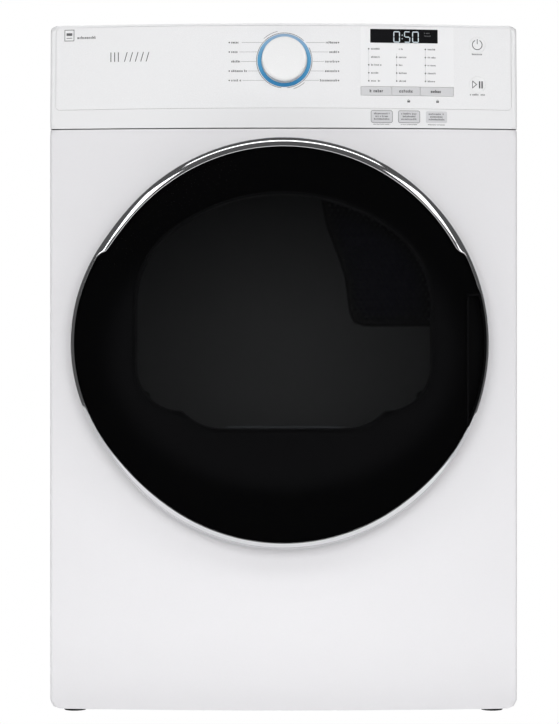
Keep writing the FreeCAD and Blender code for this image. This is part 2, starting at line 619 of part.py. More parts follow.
def make_heater_housing():
    y0 = BULKHEAD_BACK_Y + BULKHEAD_SHEET + 0.2
    outer = box(HEATER_X0, HEATER_X1, y0, y0 + 70, HEATER_Z0, HEATER_Z1)
    return outer.cut(box(HEATER_X0 + 1.5, HEATER_X1 - 1.5, y0 + 1.5, y0 + 68.5, HEATER_Z0 - 1, HEATER_Z1 + 1))


def make_heater_coil():
    """Two ceramic rods wound with heating wire, drawn as rings."""
    y = BULKHEAD_BACK_Y + 36
    rods = []
    for x in (HEATER_X0 + 36, HEATER_X1 - 36):
        core = rod_z(x, y, 7, HEATER_Z0 + 20, HEATER_Z1 - 20)
        rings = [Part.makeTorus(13, 1.6, point(x, y, z), Z_AXIS)
                 for z in range(int(HEATER_Z0) + 40, int(HEATER_Z1) - 30, 16)]
        spokes = [box(x - 12, x + 12, y - 1, y + 1, z - 1, z + 1)
                  for z in range(int(HEATER_Z0) + 40, int(HEATER_Z1) - 30, 16)]
        rods.append(fuse(core, *rings, *spokes))
    return Part.makeCompound(rods)


def make_terminal_cover():
    """The wiring cover on the rear panel, with the cord's hole in its underside."""
    bottom, top = COVER_BOTTOM_Z, COVER_BOTTOM_Z + 110
    back = CORD_Y + 14.5
    outer = box(CORD_X - 42, CORD_X + 42, REAR_PANEL_Y + 0.1, back, bottom, top)
    shell = outer.cut(box(CORD_X - 40.5, CORD_X + 40.5, REAR_PANEL_Y - 1, back - 1.5, bottom + 3, top - 1.5))
    return shell.cut(rod_z(CORD_X, CORD_Y, CORD_HOLE_R, bottom - 5, bottom + 10))


# ---- door ----------------------------------------------------------------------------------
def hinge_pocket():
    """Room in the back of the door for the hinge's goosenecks and base plate."""
    half = POCKET_HALF
    return box(-330, HINGE_BASE_X1 + 3, bowed_y(HINGE_X, DOOR_DEPTH - 16.2), CORNER_Y,
               DOOR_Z - half, DOOR_Z + half)


def grip_box(x0, x1, back, front, half):
    """A bowed block at the door's right edge, where the fingers go."""
    block = box(x0, x1, FRONT_Y - 20, CORNER_Y, GRIP_Z - half, GRIP_Z + half)
    return block.common(bowed(back, front))


def make_door_trim_ring():
    """The chrome ring: an outer wall with a lip round the glass, narrow beside the grip."""
    crest = DOOR_DEPTH
    wall = door_layer(0, 12, crest).cut(door_disc(-2.5))
    lip = door_layer(0, crest - 5, crest).cut(door_disc(-11))
    grip = grip_box(GRIP_X0 - 30, 340, crest - 20, crest + 10, GRIP_HALF).common(door_disc(-3))
    return fuse(wall, lip).cut(grip)


def make_door_outer_glass():
    glass = door_layer(-5, DOOR_DEPTH - 9.5, DOOR_DEPTH - 5.5)
    return glass.cut(grip_box(GRIP_X0 - 3.5, 340, 0, 100, GRIP_HALF + 2))


def make_door_frame():
    """The black carrier behind the glass, with the finger cup at its right edge."""
    front = DOOR_DEPTH - 10
    plate = door_layer(-4, front - 6, front)
    plate = plate.cut(window_prism(10, FRONT_Y - 20, CORNER_Y))
    rim = door_layer(-4, 16, front).cut(door_disc(-8))
    cup = grip_box(GRIP_X0 - 3, 340, 18, front + 3.5, GRIP_HALF + 1.5).common(door_disc(-4))
    room = grip_box(GRIP_X0, 340, 21, 100, GRIP_HALF - 1.5).common(door_disc(-6.5))
    return cut(fuse(plate, rim, cup), room, hinge_pocket())


def make_door_liner():
    """The inner panel with a tunnel that carries the inner glass and plugs the opening."""
    plate = door_layer(-10, 4, 7)
    edge = door_layer(-10, 4, 15.5).cut(door_disc(-13))
    tunnel = window_frame(-4, -6.5, -12, DOOR_DEPTH - 17)
    plate = plate.cut(window_prism(-5, FRONT_Y, CORNER_Y))
    return cut(fuse(plate, edge, tunnel), hinge_pocket(), make_door_strike())


def make_door_inner_glass():
    return window_layer(-6.7, -12, -8)


def make_door_seal():
    return window_frame(14, 8, 0.4, 3.95)


def make_door_strike():
    """The hook that the catch grips, on a small plate inside the door."""
    hook = box(STRIKE_X0, STRIKE_X1, bowed_y(STRIKE_X0, 7), bowed_y(STRIKE_X0, -14), STRIKE_Z0, STRIKE_Z1)
    nose = box(STRIKE_X0 + 1, STRIKE_X1 - 1, bowed_y(STRIKE_X0, -10), bowed_y(STRIKE_X0, -13.9),
               STRIKE_Z0 - 2, STRIKE_Z1 + 2)
    return fuse(hook, nose)


def make_door_catch():
    """The catch behind the front panel, with a mouth for the strike."""
    y0 = bowed_y(STRIKE_X1 + 9, -SHEET) + 0.5
    y1 = y0 + 25
    case = box(STRIKE_X0 - 9, STRIKE_X1 + 9, y0, y1, STRIKE_Z0 - 14, STRIKE_Z1 + 14)
    mouth = box(STRIKE_X0 - 3, STRIKE_X1 + 3, y0 - 5, y1 - 3, STRIKE_Z0 - 4, STRIKE_Z1 + 4)
    return case.cut(mouth)


def gooseneck(z0, z1):
    """One hinge arm in plan: from the pin forwards, over and back to the base plate."""
    back = HINGE_LIFT + 1
    path = [(-4, 5.7), (0, 7), (8, 3), (15, -6), (23, -7), (30, 0), (35, back),
            (39, back), (36, -4), (26, -12.3), (12, -12), (3, -7), (-4, -5.7), (-7, 0)]
    return prism_z([(HINGE_X + x, HINGE_Y + y) for x, y in path], z0, z1)


def make_hinge_bracket():
    """The fixed half: a base plate on the front panel and two gooseneck arms."""
    z0, z1 = DOOR_Z - HINGE_HALF, DOOR_Z + HINGE_HALF
    base = box(HINGE_BASE_X0, HINGE_BASE_X1, FRONT_Y, CORNER_Y, z0, z1).common(bowed(0.05, HINGE_SHEET))
    arms = [gooseneck(z0, z0 + HINGE_ARM), gooseneck(z1 - HINGE_ARM, z1)]
    pin_bore = rod_z(HINGE_X, HINGE_Y, PIN_R, z0 - 1, z1 + 1)
    return cut(fuse(base, *arms), pin_bore, bowed(-50, 0.05), *hinge_screw_holes())


def hinge_screw_holes():
    return [rod_y(x, z, SCREW_HOLE_R, FRONT_Y, CORNER_Y) for x, z in HINGE_SCREWS]


def make_hinge_pin():
    z0, z1 = DOOR_Z - HINGE_HALF, DOOR_Z + HINGE_HALF
    pin = rod_z(HINGE_X, HINGE_Y, PIN_R, z0, z1)
    return fuse(pin, rod_z(HINGE_X, HINGE_Y, PIN_R + 2, z1, z1 + 3))


def make_hinge_leaf():
    """The door's half: a barrel on the pin and a plate screwed to the door's carrier."""
    z0, z1 = DOOR_Z - HINGE_HALF + HINGE_ARM + 0.5, DOOR_Z + HINGE_HALF - HINGE_ARM - 0.5
    barrel = rod_z(HINGE_X, HINGE_Y, 7, z0, z1)
    plate_front = bowed_y(HINGE_X, DOOR_DEPTH - 16.3)
    plate = box(HINGE_X - 6, HINGE_X + 36, plate_front, plate_front + 3.5, z0, z1)
    web = box(HINGE_X - 2, HINGE_X + 2, plate_front + 1, HINGE_Y - 3, z0, z1)
    return fuse(barrel, web, plate).cut(rod_z(HINGE_X, HINGE_Y, PIN_R + FIT, z0 - 1, z1 + 1))


# ---- control fascia ------------------------------------------------------------------------
def make_control_fascia():
    """The plastic console: a bowed face that leans back, with folded top, sides and foot."""
    wall = 3.0
    tall = HEIGHT - SEAM_Z + 6
    block = box(-HALF, HALF, PANEL_FRONT_Y - 5, CORNER_Y, SEAM_Z + 0.5, HEIGHT)
    hollow = box(-HALF + wall, HALF - wall, PANEL_FRONT_Y - 40, CORNER_Y + 1, SEAM_Z + 0.5 + wall, HEIGHT - wall)
    ahead = tilted(bowed(0, 80, SEAM_Z - 10, SEAM_Z + tall, HALF + 20))
    face = tilted(bowed(-wall - 1.2, 0, SEAM_Z - 10, SEAM_Z + tall, HALF + 20)).common(block)
    body = block.cut(hollow).cut(ahead)
    recess = tilted(overlay_slab(0.2, -1.2, 1))
    return cut(fuse(body, face), recess, *console_holes())


def overlay_slab(grow, back, front):
    slab = box(-OVERLAY_HALF - grow, OVERLAY_HALF + grow, FRONT_Y, CORNER_Y, OVERLAY_Z0 - grow, OVERLAY_Z1 + grow)
    return slab.common(bowed(back, front, 0, HEIGHT + 20))


def console_holes():
    """Holes in the face for the knob's shaft, the keys and the display."""
    y0, y1 = FRONT_Y, CORNER_Y
    gap = KEY_GAP
    holes = [rod_y(KNOB_X, KNOB_Z, 8, y0, y1)]
    holes += [rod_y(ROUND_KEY_X, z, ROUND_KEY_R + gap, y0, y1) for z in (POWER_Z, START_Z)]
    holes.append(box(STRIP_X[0] - gap, STRIP_X[-1] + gap, y0, y1, STRIP_Z0 - gap, STRIP_Z1 + gap))
    holes.append(box(DISPLAY_X[0], DISPLAY_X[1], y0, y1, DISPLAY_Z[0], DISPLAY_Z[1]))
    return [tilted(hole) for hole in holes]


def make_control_overlay():
    return cut(tilted(overlay_slab(0, -1.1, 0)), *console_holes())


def make_display_window():
    pane = box(DISPLAY_X[0] + 0.2, DISPLAY_X[1] - 0.2, FRONT_Y, CORNER_Y, DISPLAY_Z[0] + 0.2, DISPLAY_Z[1] - 0.2)
    return tilted(pane.common(bowed(-3.5, 0)))


def make_control_board():
    """The circuit board with the knob's encoder and the key switches."""
    y0 = PANEL_FRONT_Y + 27
    board = box(-70, 310, y0, y0 + 1.6, SEAM_Z + 30, SEAM_Z + 142)
    encoder = rod_y(KNOB_X, KNOB_Z, 11, y0 - 12, y0 + 1)
    board = fuse(board, encoder).cut(rod_y(KNOB_X, KNOB_Z, 3.5 + FIT, y0 - 20, y0 + 6))
    return tilted(board)


def make_knob_light_ring():
    y = bowed_y(LIGHT_RING_R, 0)
    ring = Part.makeCone(LIGHT_RING_R, LIGHT_RING_R - 2, 7, point(KNOB_X, y, KNOB_Z), point(0, -1, 0))
    base = rod_y(KNOB_X, KNOB_Z, LIGHT_RING_R, y - 0.1, y + 3)
    bore = rod_y(KNOB_X, KNOB_Z, KNOB_R + 0.5, y - 20, y + 10)
    return tilted(cut(fuse(ring, base), bore, bowed(-60, 0.1)))


def make_program_knob():
    """The knob: a slightly dished face on a round body, with its shaft."""
    back = bowed_y(KNOB_R, 0) - 1.2
    front = PANEL_FRONT_Y - 16
    body = rod_y(KNOB_X, KNOB_Z, KNOB_R, front + 3, back)
    cap = Part.makeCone(KNOB_R, KNOB_R - 2.5, 3, point(KNOB_X, front + 3, KNOB_Z), point(0, -1, 0))
    shaft = rod_y(KNOB_X, KNOB_Z, 3.5, back - 1, PANEL_FRONT_Y + 26)
    return tilted(fuse(body, cap, shaft))


def make_round_key(z):
    key = rod_y(ROUND_KEY_X, z, ROUND_KEY_R, FRONT_Y, CORNER_Y).common(bowed(-8, 0))
    return tilted(key)


def make_option_key(left, right):
    gap = 0.3
    key = box(left + gap, right - gap, FRONT_Y, CORNER_Y, STRIP_Z0, STRIP_Z1)
    return tilted(key.common(bowed(-8, 0)))


# ---- places shared by several pieces -------------------------------------------------------
FEET = {"front_left_foot": (-FOOT_X, FOOT_FRONT_Y), "front_right_foot": (FOOT_X, FOOT_FRONT_Y),
        "rear_left_foot": (-FOOT_X, FOOT_BACK_Y), "rear_right_foot": (FOOT_X, FOOT_BACK_Y)}
ROLLER_REACH = DRUM_R + RUN_GAP + ROLLER_R
ROLLER_SIDE = ROLLER_REACH * math.sin(math.radians(ROLLER_ANGLE))
ROLLER_Z = DRUM_Z - ROLLER_REACH * math.cos(math.radians(ROLLER_ANGLE))
ROLLERS = {"left_roller": (-ROLLER_SIDE, ROLLER_Z), "right_roller": (ROLLER_SIDE, ROLLER_Z)}
ROLLER_Y = DRUM_BACK_Y - 4 - ROLLER_WIDTH
AXLE_R = 6.0
SPRING_TOP_Z = 206.0
HEATER_X0 = 150.0
HEATER_X1 = 290.0
HEATER_Z0 = 120.0
HEATER_Z1 = 400.0
HINGE_Y = bowed_y(HINGE_X, HINGE_LIFT)
HINGE_BASE_X0 = HINGE_X + 30
HINGE_BASE_X1 = -239.0
SCREW_R = 2.0
SCREW_HOLE_R = 2.1
HINGE_SCREWS = [(-247.0, DOOR_Z + lift) for lift in (-36.0, -12.0, 12.0, 36.0)]
REAR_SCREWS = [(x, REAR_PANEL_Y, z) for x in (-332.0, 332.0) for z in (70.0, 360.0, 660.0, 970.0)]
STRIKE_X0, STRIKE_X1 = 253.0, 259.0
STRIKE_Z0, STRIKE_Z1 = 510.0, 526.0
GRIP_Z = 518.0
GRIP_HALF = 94.0
GRIP_X0 = 268.0


def build_pieces():
    """Every node by name, in the order a person would put the machine together."""
    right_side = make_side_panel()
    pieces = {
        "base_pan": make_base_pan(),
        "left_side_panel": mirrored_x(right_side),
        "right_side_panel": right_side,
        "rear_panel": make_rear_panel(),
        "top_panel": make_top_panel(),
        "front_panel": make_front_panel(),
        "door_collar": make_door_collar(),
        "front_bulkhead": make_front_bulkhead(),
        "rear_bulkhead": make_rear_bulkhead(),
        "air_grille": make_air_grille(),
        "front_drum_seal": make_drum_seal(DRUM_FRONT_Y + 6),
        "rear_drum_seal": make_drum_seal(DRUM_BACK_Y - 21),
        "drum_belt": make_drum_belt(),
        "roller_axles": make_roller_axles(),
        "lint_duct": make_lint_duct(),
        "blower_housing": make_blower_housing(),
        "motor_housing": make_motor_housing(),
        "exhaust_pipe": make_exhaust_pipe(),
        "heater_housing": make_heater_housing(),
        "heater_coil": make_heater_coil(),
        "rear_air_duct": make_rear_air_duct(),
        "terminal_cover": make_terminal_cover(),
        "idler_spring": make_idler_spring(),
        "hinge_bracket": make_hinge_bracket(),
        "hinge_pin": make_hinge_pin(),
        "door_catch": make_door_catch(),
        "control_fascia": make_control_fascia(),
        "control_overlay": make_control_overlay(),
        "display_window": make_display_window(),
        "control_board": make_control_board(),
        "knob_light_ring": make_knob_light_ring(),
        "screws": make_screws(),
        "program_knob": make_program_knob(),
        "power_key": make_round_key(POWER_Z),
        "start_key": make_round_key(START_Z),
        "door_trim_ring": make_door_trim_ring(),
        "door_outer_glass": make_door_outer_glass(),
        "door_frame": make_door_frame(),
        "door_liner": make_door_liner(),
        "door_inner_glass": make_door_inner_glass(),
        "door_seal": make_door_seal(),
        "door_strike": make_door_strike(),
        "hinge_leaf": make_hinge_leaf(),
        "drum_shell": make_drum_shell(),
        "drum_lifters": make_drum_lifters(),
        "motor_shaft": make_motor_shaft(),
        "blower_wheel": make_blower_wheel(),
        "idler_arm": make_idler_arm(),
        "idler_pulley": make_idler_pulley(),
        "lint_filter_frame": make_lint_filter_frame(),
        "lint_filter_screen": make_lint_filter_screen(),
    }
    for name, left, right in zip(("level_key", "heat_key", "time_key"), STRIP_X, STRIP_X[1:]):
        pieces[name] = make_option_key(left, right)
    for name, (x, y) in FEET.items():
        pieces[name] = make_foot(x, y)
    for name, (x, z) in ROLLERS.items():
        pieces[name] = make_roller(x, z)
    return pieces


def write_steps(pieces):
    os.makedirs("parts", exist_ok=True)
    for name, shape in pieces.items():
        shape.exportStep(os.path.join("parts", name + ".step"))
        size = shape.BoundBox
        print(f"{name:20s} solids {len(shape.Solids):2d} valid {shape.isValid()} "
              f"volume {shape.Volume / 1000:9.1f} cm3  x {size.XMin:.1f} {size.XMax:.1f} "
              f"y {size.YMin:.1f} {size.YMax:.1f} z {size.ZMin:.1f} {size.ZMax:.1f}")


write_steps(build_pieces())
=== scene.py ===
"""A full-size front-loading clothes dryer with a round glass door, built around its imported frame."""
import logging
import math
import random
from dataclasses import dataclass, field
from enum import Enum
from typing import Callable, Iterable, Optional, Sequence, Union

import bmesh
import bpy
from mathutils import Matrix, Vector
from mathutils.geometry import delaunay_2d_cdt


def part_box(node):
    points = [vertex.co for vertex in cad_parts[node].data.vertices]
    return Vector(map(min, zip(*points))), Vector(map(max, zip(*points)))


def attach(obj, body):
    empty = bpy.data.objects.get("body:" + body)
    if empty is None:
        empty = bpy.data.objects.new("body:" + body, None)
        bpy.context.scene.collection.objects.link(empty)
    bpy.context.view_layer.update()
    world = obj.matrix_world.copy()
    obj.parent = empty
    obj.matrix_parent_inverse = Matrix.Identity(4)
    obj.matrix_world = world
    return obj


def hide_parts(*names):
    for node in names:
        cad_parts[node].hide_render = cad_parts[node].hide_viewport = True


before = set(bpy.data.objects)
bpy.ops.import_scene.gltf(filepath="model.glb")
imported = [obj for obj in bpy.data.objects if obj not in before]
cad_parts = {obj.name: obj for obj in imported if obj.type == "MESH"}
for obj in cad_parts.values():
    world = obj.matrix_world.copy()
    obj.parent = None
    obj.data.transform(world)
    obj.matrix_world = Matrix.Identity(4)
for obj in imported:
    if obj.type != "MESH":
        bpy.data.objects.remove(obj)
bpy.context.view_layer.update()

MM = 0.001
Pair = tuple[float, float]
Triple = tuple[float, float, float]
Colour = Triple
Face = tuple[int, ...]
Outline = Sequence[Pair]
Socket = bpy.types.NodeSocket
HoleTest = Callable[[Pair], bool]
Section = Callable[[int], Outline]
Place = Callable[[float, float, float], Vector]
log = logging.getLogger("dryer")


# ---- finishes ------------------------------------------------------------------------------
class Grain(Enum):
    """The small-scale texture that a finish carries."""

    ORANGE_PEEL = "orange peel"
    MOULDED = "moulded"
    SPUN = "spun"
    SPANGLE = "spangle"
    BRUSHED = "brushed"
    SPECKLE = "speckle"
    FELTED = "felted"
    WOVEN = "woven"


class NodeTree:
    """A thin wrapper that adds shader nodes and links with little writing."""

    def __init__(self, material: bpy.types.Material) -> None:
        """Empties the material's tree.

        Args:
            material: the material to build.
        """
        material.use_nodes = True
        self.tree = material.node_tree
        self.tree.nodes.clear()

    def add(self, kind: str, **settings: object) -> bpy.types.Node:
        """Adds one node.

        Args:
            kind: the node type's name without its ShaderNode prefix.
            settings: attributes, or input values where the name is an input's.

        Returns:
            The new node.
        """
        node = self.tree.nodes.new("ShaderNode" + kind)
        for name, value in settings.items():
            label = name.replace("_", " ")
            if label in node.inputs:
                node.inputs[label].default_value = value
            else:
                setattr(node, name, value)
        return node

    def link(self, source: Socket, target: Socket) -> None:
        """Links two sockets."""
        self.tree.links.new(source, target)

    def surface(self, specular: float, **settings: object) -> bpy.types.Node:
        """Adds the surface shader and links it to the output.

        Args:
            specular: the strength of its mirror-like shine.
            settings: more of the shader's own inputs.

        Returns:
            The shader.
        """
        shader = self.add("BsdfPrincipled", Specular_IOR_Level=specular, **settings)
        self.link(shader.outputs["BSDF"], self.add("OutputMaterial").inputs["Surface"])
        return shader

    def place(self) -> Socket:
        """Where a point lies in the piece's own space."""
        return self.add("TexCoord").outputs["Object"]

    def noise(self, place: Socket, **settings: object) -> Socket:
        """Soft noise over a place.

        Args:
            place: the place.
            settings: the noise node's settings.

        Returns:
            The noise, from 0 to 1.
        """
        node = self.add("TexNoise", **settings)
        self.link(place, node.inputs["Vector"])
        return node.outputs["Fac"]

    def span(self, source: Socket, **settings: object) -> Socket:
        """Maps a value from one range to another.

        Args:
            source: the value.
            settings: the two ranges.

        Returns:
            The mapped value.
        """
        node = self.add("MapRange", **settings)
        self.link(source, node.inputs["Value"])
        return node.outputs["Result"]

    def ramp(self, source: Socket,
             stops: Sequence[tuple[float, Colour]]) -> Socket:
        """Turns a value into a colour.

        Args:
            source: the value.
            stops: the places from 0 to 1 and their colours, in order.

        Returns:
            The colour.
        """
        node = self.add("ValToRGB")
        points = node.color_ramp.elements
        for spot, _ in stops[1:-1]:
            points.new(spot)
        for point, (spot, colour) in zip(points, stops):
            point.position = spot
            point.color = (*[min(1.0, part) for part in colour], 1)
        self.link(source, node.inputs["Fac"])
        return node.outputs["Color"]

    def bump(self, source: Socket, shader: bpy.types.Node, strength: float,
             distance: float) -> None:
        """Raises the surface with a value.

        Args:
            source: the value.
            shader: the surface shader.
            strength: how strongly it shows.
            distance: how far it stands up, in metres.
        """
        node = self.add("Bump", Strength=strength, Distance=distance)
        self.link(source, node.inputs["Height"])
        self.link(node.outputs["Normal"], shader.inputs["Normal"])


def shaded(colour: Colour, share: float) -> Colour:
    """A colour made lighter or darker."""
    return (colour[0] * share, colour[1] * share, colour[2] * share)


@dataclass(frozen=True)
class Finish:
    """One surface finish: a base colour with a grain that moves colour, gloss and bump."""

    name: str
    colour: Colour
    slot: str
    roughness: float = 0.4
    metallic: float = 0.0
    grain: Grain = Grain.MOULDED
    scale: float = 900.0
    variation: float = 0.04
    bump: float = 0.05
    coat: float = 0.0
    specular: float = 0.5
    emission: float = 0.0
    wear: float = 0.0

    def material(self) -> bpy.types.Material:
        """Builds the finish once and finds it again later.

        Returns:
            The material.
        """
        made = bpy.data.materials.get(self.name)
        if made:
            return made
        made = bpy.data.materials.new(self.name)
        nodes = NodeTree(made)
        shader = nodes.surface(self.specular, Metallic=self.metallic, Coat_Weight=self.coat,
                               Coat_Roughness=0.06)
        fine = self._grain(nodes)
        self._colour(nodes, shader, fine)
        self._gloss(nodes, shader, fine)
        if self.emission:
            shader.inputs["Emission Color"].default_value = (*self.colour, 1)
            shader.inputs["Emission Strength"].default_value = self.emission
        return made

    def _grain(self, nodes: NodeTree) -> Socket:
        """Lays out the grain's pattern in object space.

        Args:
            nodes: the tree to add to.

        Returns:
            A socket that carries the grain from 0 to 1.
        """
        stretch = nodes.add("Mapping")
        nodes.link(nodes.place(), stretch.inputs["Vector"])
        if self.grain is Grain.BRUSHED:
            stretch.inputs["Scale"].default_value = (1.0, 1.0, 0.03)
        if self.grain in (Grain.SPANGLE, Grain.SPECKLE):
            cells = nodes.add("TexVoronoi", Scale=self.scale)
            nodes.link(stretch.outputs["Vector"], cells.inputs["Vector"])
            tone = nodes.add("SeparateColor")
            nodes.link(cells.outputs["Color"], tone.inputs["Color"])
            return tone.outputs["Red"]
        if self.grain is Grain.WOVEN:
            across = nodes.add("TexWave", Scale=self.scale, bands_direction="X")
            down = nodes.add("TexWave", Scale=self.scale, bands_direction="Z")
            weave = nodes.add("Math", operation="MULTIPLY")
            for number, wave in enumerate((across, down)):
                nodes.link(stretch.outputs["Vector"], wave.inputs["Vector"])
                nodes.link(wave.outputs["Fac"], weave.inputs[number])
            return weave.outputs["Value"]
        detail = 6.0 if self.grain is Grain.FELTED else 2.0
        return nodes.noise(stretch.outputs["Vector"], Scale=self.scale, Detail=detail, Roughness=0.55)

    def _colour(self, nodes: NodeTree, shader: bpy.types.Node, fine: Socket) -> None:
        """Varies the base colour with the grain and with broad soft patches.

        Args:
            nodes: the tree to add to.
            shader: the surface shader.
            fine: the grain.
        """
        blend = nodes.add("Mix", data_type="FLOAT")
        blend.inputs["Factor"].default_value = 0.35
        nodes.link(fine, blend.inputs[2])
        nodes.link(nodes.noise(nodes.place(), Scale=7.0, Detail=3.0), blend.inputs[3])
        source = nodes.ramp(blend.outputs[0], ((0.25, shaded(self.colour, 1 - self.variation)),
                                               (0.75, shaded(self.colour, 1 + self.variation))))
        if self.wear:
            source = self._worn(nodes, source)
        nodes.link(source, shader.inputs["Base Color"])

    def _worn(self, nodes: NodeTree, source: Socket) -> Socket:
        """Lightens the finish along its raised edges.

        Args:
            nodes: the tree to add to.
            source: the unworn colour.

        Returns:
            The worn colour.
        """
        edge = nodes.add("NewGeometry").outputs["Pointiness"]
        mix = nodes.add("Mix", data_type="RGBA")
        mix.inputs[7].default_value = (*[min(1.0, c * 1.5 + 0.08) for c in self.colour], 1)
        share = nodes.span(edge, From_Min=0.52, From_Max=0.62, To_Max=self.wear)
        nodes.link(share, mix.inputs["Factor"])
        nodes.link(source, mix.inputs[6])
        return mix.outputs[2]

    def _gloss(self, nodes: NodeTree, shader: bpy.types.Node, fine: Socket) -> None:
        """Drives roughness and bump from the grain.

        Args:
            nodes: the tree to add to.
            shader: the surface shader.
            fine: the grain.
        """
        gloss = nodes.span(fine, To_Min=self.roughness * 0.88, To_Max=min(1.0, self.roughness * 1.14))
        nodes.link(gloss, shader.inputs["Roughness"])
        nodes.bump(fine, shader, self.bump, 0.0004)


@dataclass(frozen=True)
class TintedGlass:
    """Smooth glass that dims what is behind it, with faint smears in its gloss."""

    name: str
    colour: Colour
    slot: str
    solidity: float
    shine: float = 0.5
    roughness: float = 0.03

    def material(self) -> bpy.types.Material:
        """Builds the glass once and finds it again later.

        Returns:
            The material.
        """
        made = bpy.data.materials.get(self.name)
        if made:
            return made
        made = bpy.data.materials.new(self.name)
        nodes = NodeTree(made)
        shader = nodes.surface(self.shine, Alpha=self.solidity)
        smear = nodes.noise(nodes.place(), Scale=14.0, Detail=5.0)
        gloss = nodes.span(smear, To_Min=self.roughness, To_Max=self.roughness * 2.2)
        nodes.link(gloss, shader.inputs["Roughness"])
        tone = nodes.ramp(smear, ((0.0, self.colour), (1.0, shaded(self.colour, 1.25))))
        nodes.link(tone, shader.inputs["Base Color"])
        return made


@dataclass(frozen=True)
class BorderPrintPaintedGlow:
    """The black print behind the door's glass, with a painted glow a shade paler close round the window
    that stands for the liner lit from above, seen through the glass.
    """

    name: str = "door_border_print_painted_glow"
    slot: str = "door_black"
    centre_z: float = 0.530
    half_wide: float = 0.222
    half_tall: float = 0.175
    reach: float = 0.26
    deep: Colour = (0.0010, 0.0010, 0.0011)
    # painted glow: this paler colour round the window stands for the lit liner seen through the glass
    pale: Colour = (0.0300, 0.0300, 0.0325)

    def material(self) -> bpy.types.Material:
        """Builds the print and its painted glow.

        Returns:
            The material.
        """
        made = bpy.data.materials.new(self.name)
        nodes = NodeTree(made)
        shader = nodes.surface(0.05)
        fit = nodes.add("Mapping", vector_type="TEXTURE", Location=(0.0, 0.0, self.centre_z))
        fit.inputs["Scale"].default_value = (self.half_wide, 1.0e4, self.half_tall)
        nodes.link(nodes.place(), fit.inputs["Vector"])
        away = nodes.add("VectorMath", operation="LENGTH")
        nodes.link(fit.outputs["Vector"], away.inputs[0])
        # the painted glow fades from the window's edge out to the deep black over this reach
        fade = nodes.span(away.outputs["Value"], interpolation_type="SMOOTHERSTEP", From_Min=1.0,
                          From_Max=1.0 + self.reach)
        gloss = nodes.span(nodes.noise(fit.outputs["Vector"], Scale=900.0), To_Min=0.30, To_Max=0.42)
        nodes.link(gloss, shader.inputs["Roughness"])
        tone = nodes.ramp(fade, ((0.0, self.pale), (1.0, self.deep)))
        nodes.link(tone, shader.inputs["Base Color"])
        return made


@dataclass(frozen=True)
class LightRing:
    """Blue diffusing plastic, deeper at the foot of the ring and paler towards its top."""

    name: str
    slot: str
    low_z: float
    high_z: float
    foot: Colour = (0.028, 0.20, 0.42)
    flank: Colour = (0.09, 0.33, 0.56)
    crown: Colour = (0.26, 0.39, 0.55)

    def material(self) -> bpy.types.Material:
        """Builds the ring's plastic.

        Returns:
            The material.
        """
        made = bpy.data.materials.new(self.name)
        nodes = NodeTree(made)
        shader = nodes.surface(0.5, Roughness=0.22, Emission_Strength=0.08)
        axes = nodes.add("SeparateXYZ")
        nodes.link(nodes.place(), axes.inputs["Vector"])
        rise = nodes.span(axes.outputs["Z"], From_Min=self.low_z, From_Max=self.high_z)
        tone = nodes.ramp(rise, ((0.0, self.foot), (0.5, self.flank), (1.0, self.crown)))
        nodes.link(tone, shader.inputs["Base Color"])
        nodes.link(tone, shader.inputs["Emission Color"])
        nodes.bump(nodes.noise(nodes.place(), Scale=1500.0), shader, 0.05, 0.0002)
        return made


Coat = Union[Finish, TintedGlass, BorderPrintPaintedGlow, LightRing]
ENAMEL = Finish("white_enamel_coat", (0.80, 0.793, 0.812), "white_enamel", roughness=0.30,
                grain=Grain.ORANGE_PEEL, scale=420, variation=0.012, bump=0.035, coat=0.25)
ZINC = Finish("zinc_sheet", (0.56, 0.57, 0.58), "zinc_steel", roughness=0.42, metallic=0.85,
              grain=Grain.SPANGLE, scale=170, variation=0.10, bump=0.05)
BULKHEAD = Finish("bulkhead_enamel", (0.46, 0.47, 0.48), "bulkhead_paint", roughness=0.42,
                  grain=Grain.ORANGE_PEEL, scale=500, variation=0.03, bump=0.06)
DRUM_COAT = Finish("drum_powder_coat", (0.34, 0.345, 0.355), "drum_coat", roughness=0.46,
                   grain=Grain.SPECKLE, scale=1400, variation=0.16, bump=0.10)
STEEL = Finish("turned_steel", (0.50, 0.51, 0.53), "bare_steel", roughness=0.3, metallic=1.0,
               grain=Grain.BRUSHED, scale=900, variation=0.06, bump=0.05, wear=0.25)
MOTOR = Finish("motor_lacquer", (0.03, 0.03, 0.033), "motor_paint", roughness=0.4,
               grain=Grain.ORANGE_PEEL, scale=500, variation=0.1, bump=0.08, wear=0.3)
FASCIA = Finish("fascia_white", (0.84, 0.84, 0.85), "fascia_plastic", roughness=0.33,
                scale=1200, variation=0.01, bump=0.03, coat=0.15)
OVERLAY = Finish("overlay_film", (0.86, 0.86, 0.87), "overlay_plastic", roughness=0.27,
                 scale=1600, variation=0.008, bump=0.02, coat=0.2)
PALE_PANEL = Finish("display_bezel_film", (0.87, 0.87, 0.88), "overlay_plastic", roughness=0.3,
                    scale=1600, variation=0.01, bump=0.02)
KEY_GREY = Finish("key_satin_grey", (0.66, 0.66, 0.675), "key_plastic", roughness=0.42,
                  scale=1800, variation=0.02, bump=0.06)
KEY_WHITE = Finish("round_key_white", (0.86, 0.86, 0.87), "round_key_plastic", roughness=0.27,
                   scale=1600, variation=0.008, bump=0.02, coat=0.2)
BADGE = Finish("badge_grey", (0.66, 0.66, 0.68), "key_plastic", roughness=0.38,
               scale=1800, variation=0.02, bump=0.05)
INK = Finish("print_ink", (0.055, 0.055, 0.06), "key_plastic", roughness=0.5,
             scale=3000, variation=0.06, bump=0.02)
PALE_INK = Finish("print_ink_pale", (0.12, 0.12, 0.125), "key_plastic", roughness=0.5,
                  scale=3000, variation=0.06, bump=0.02)
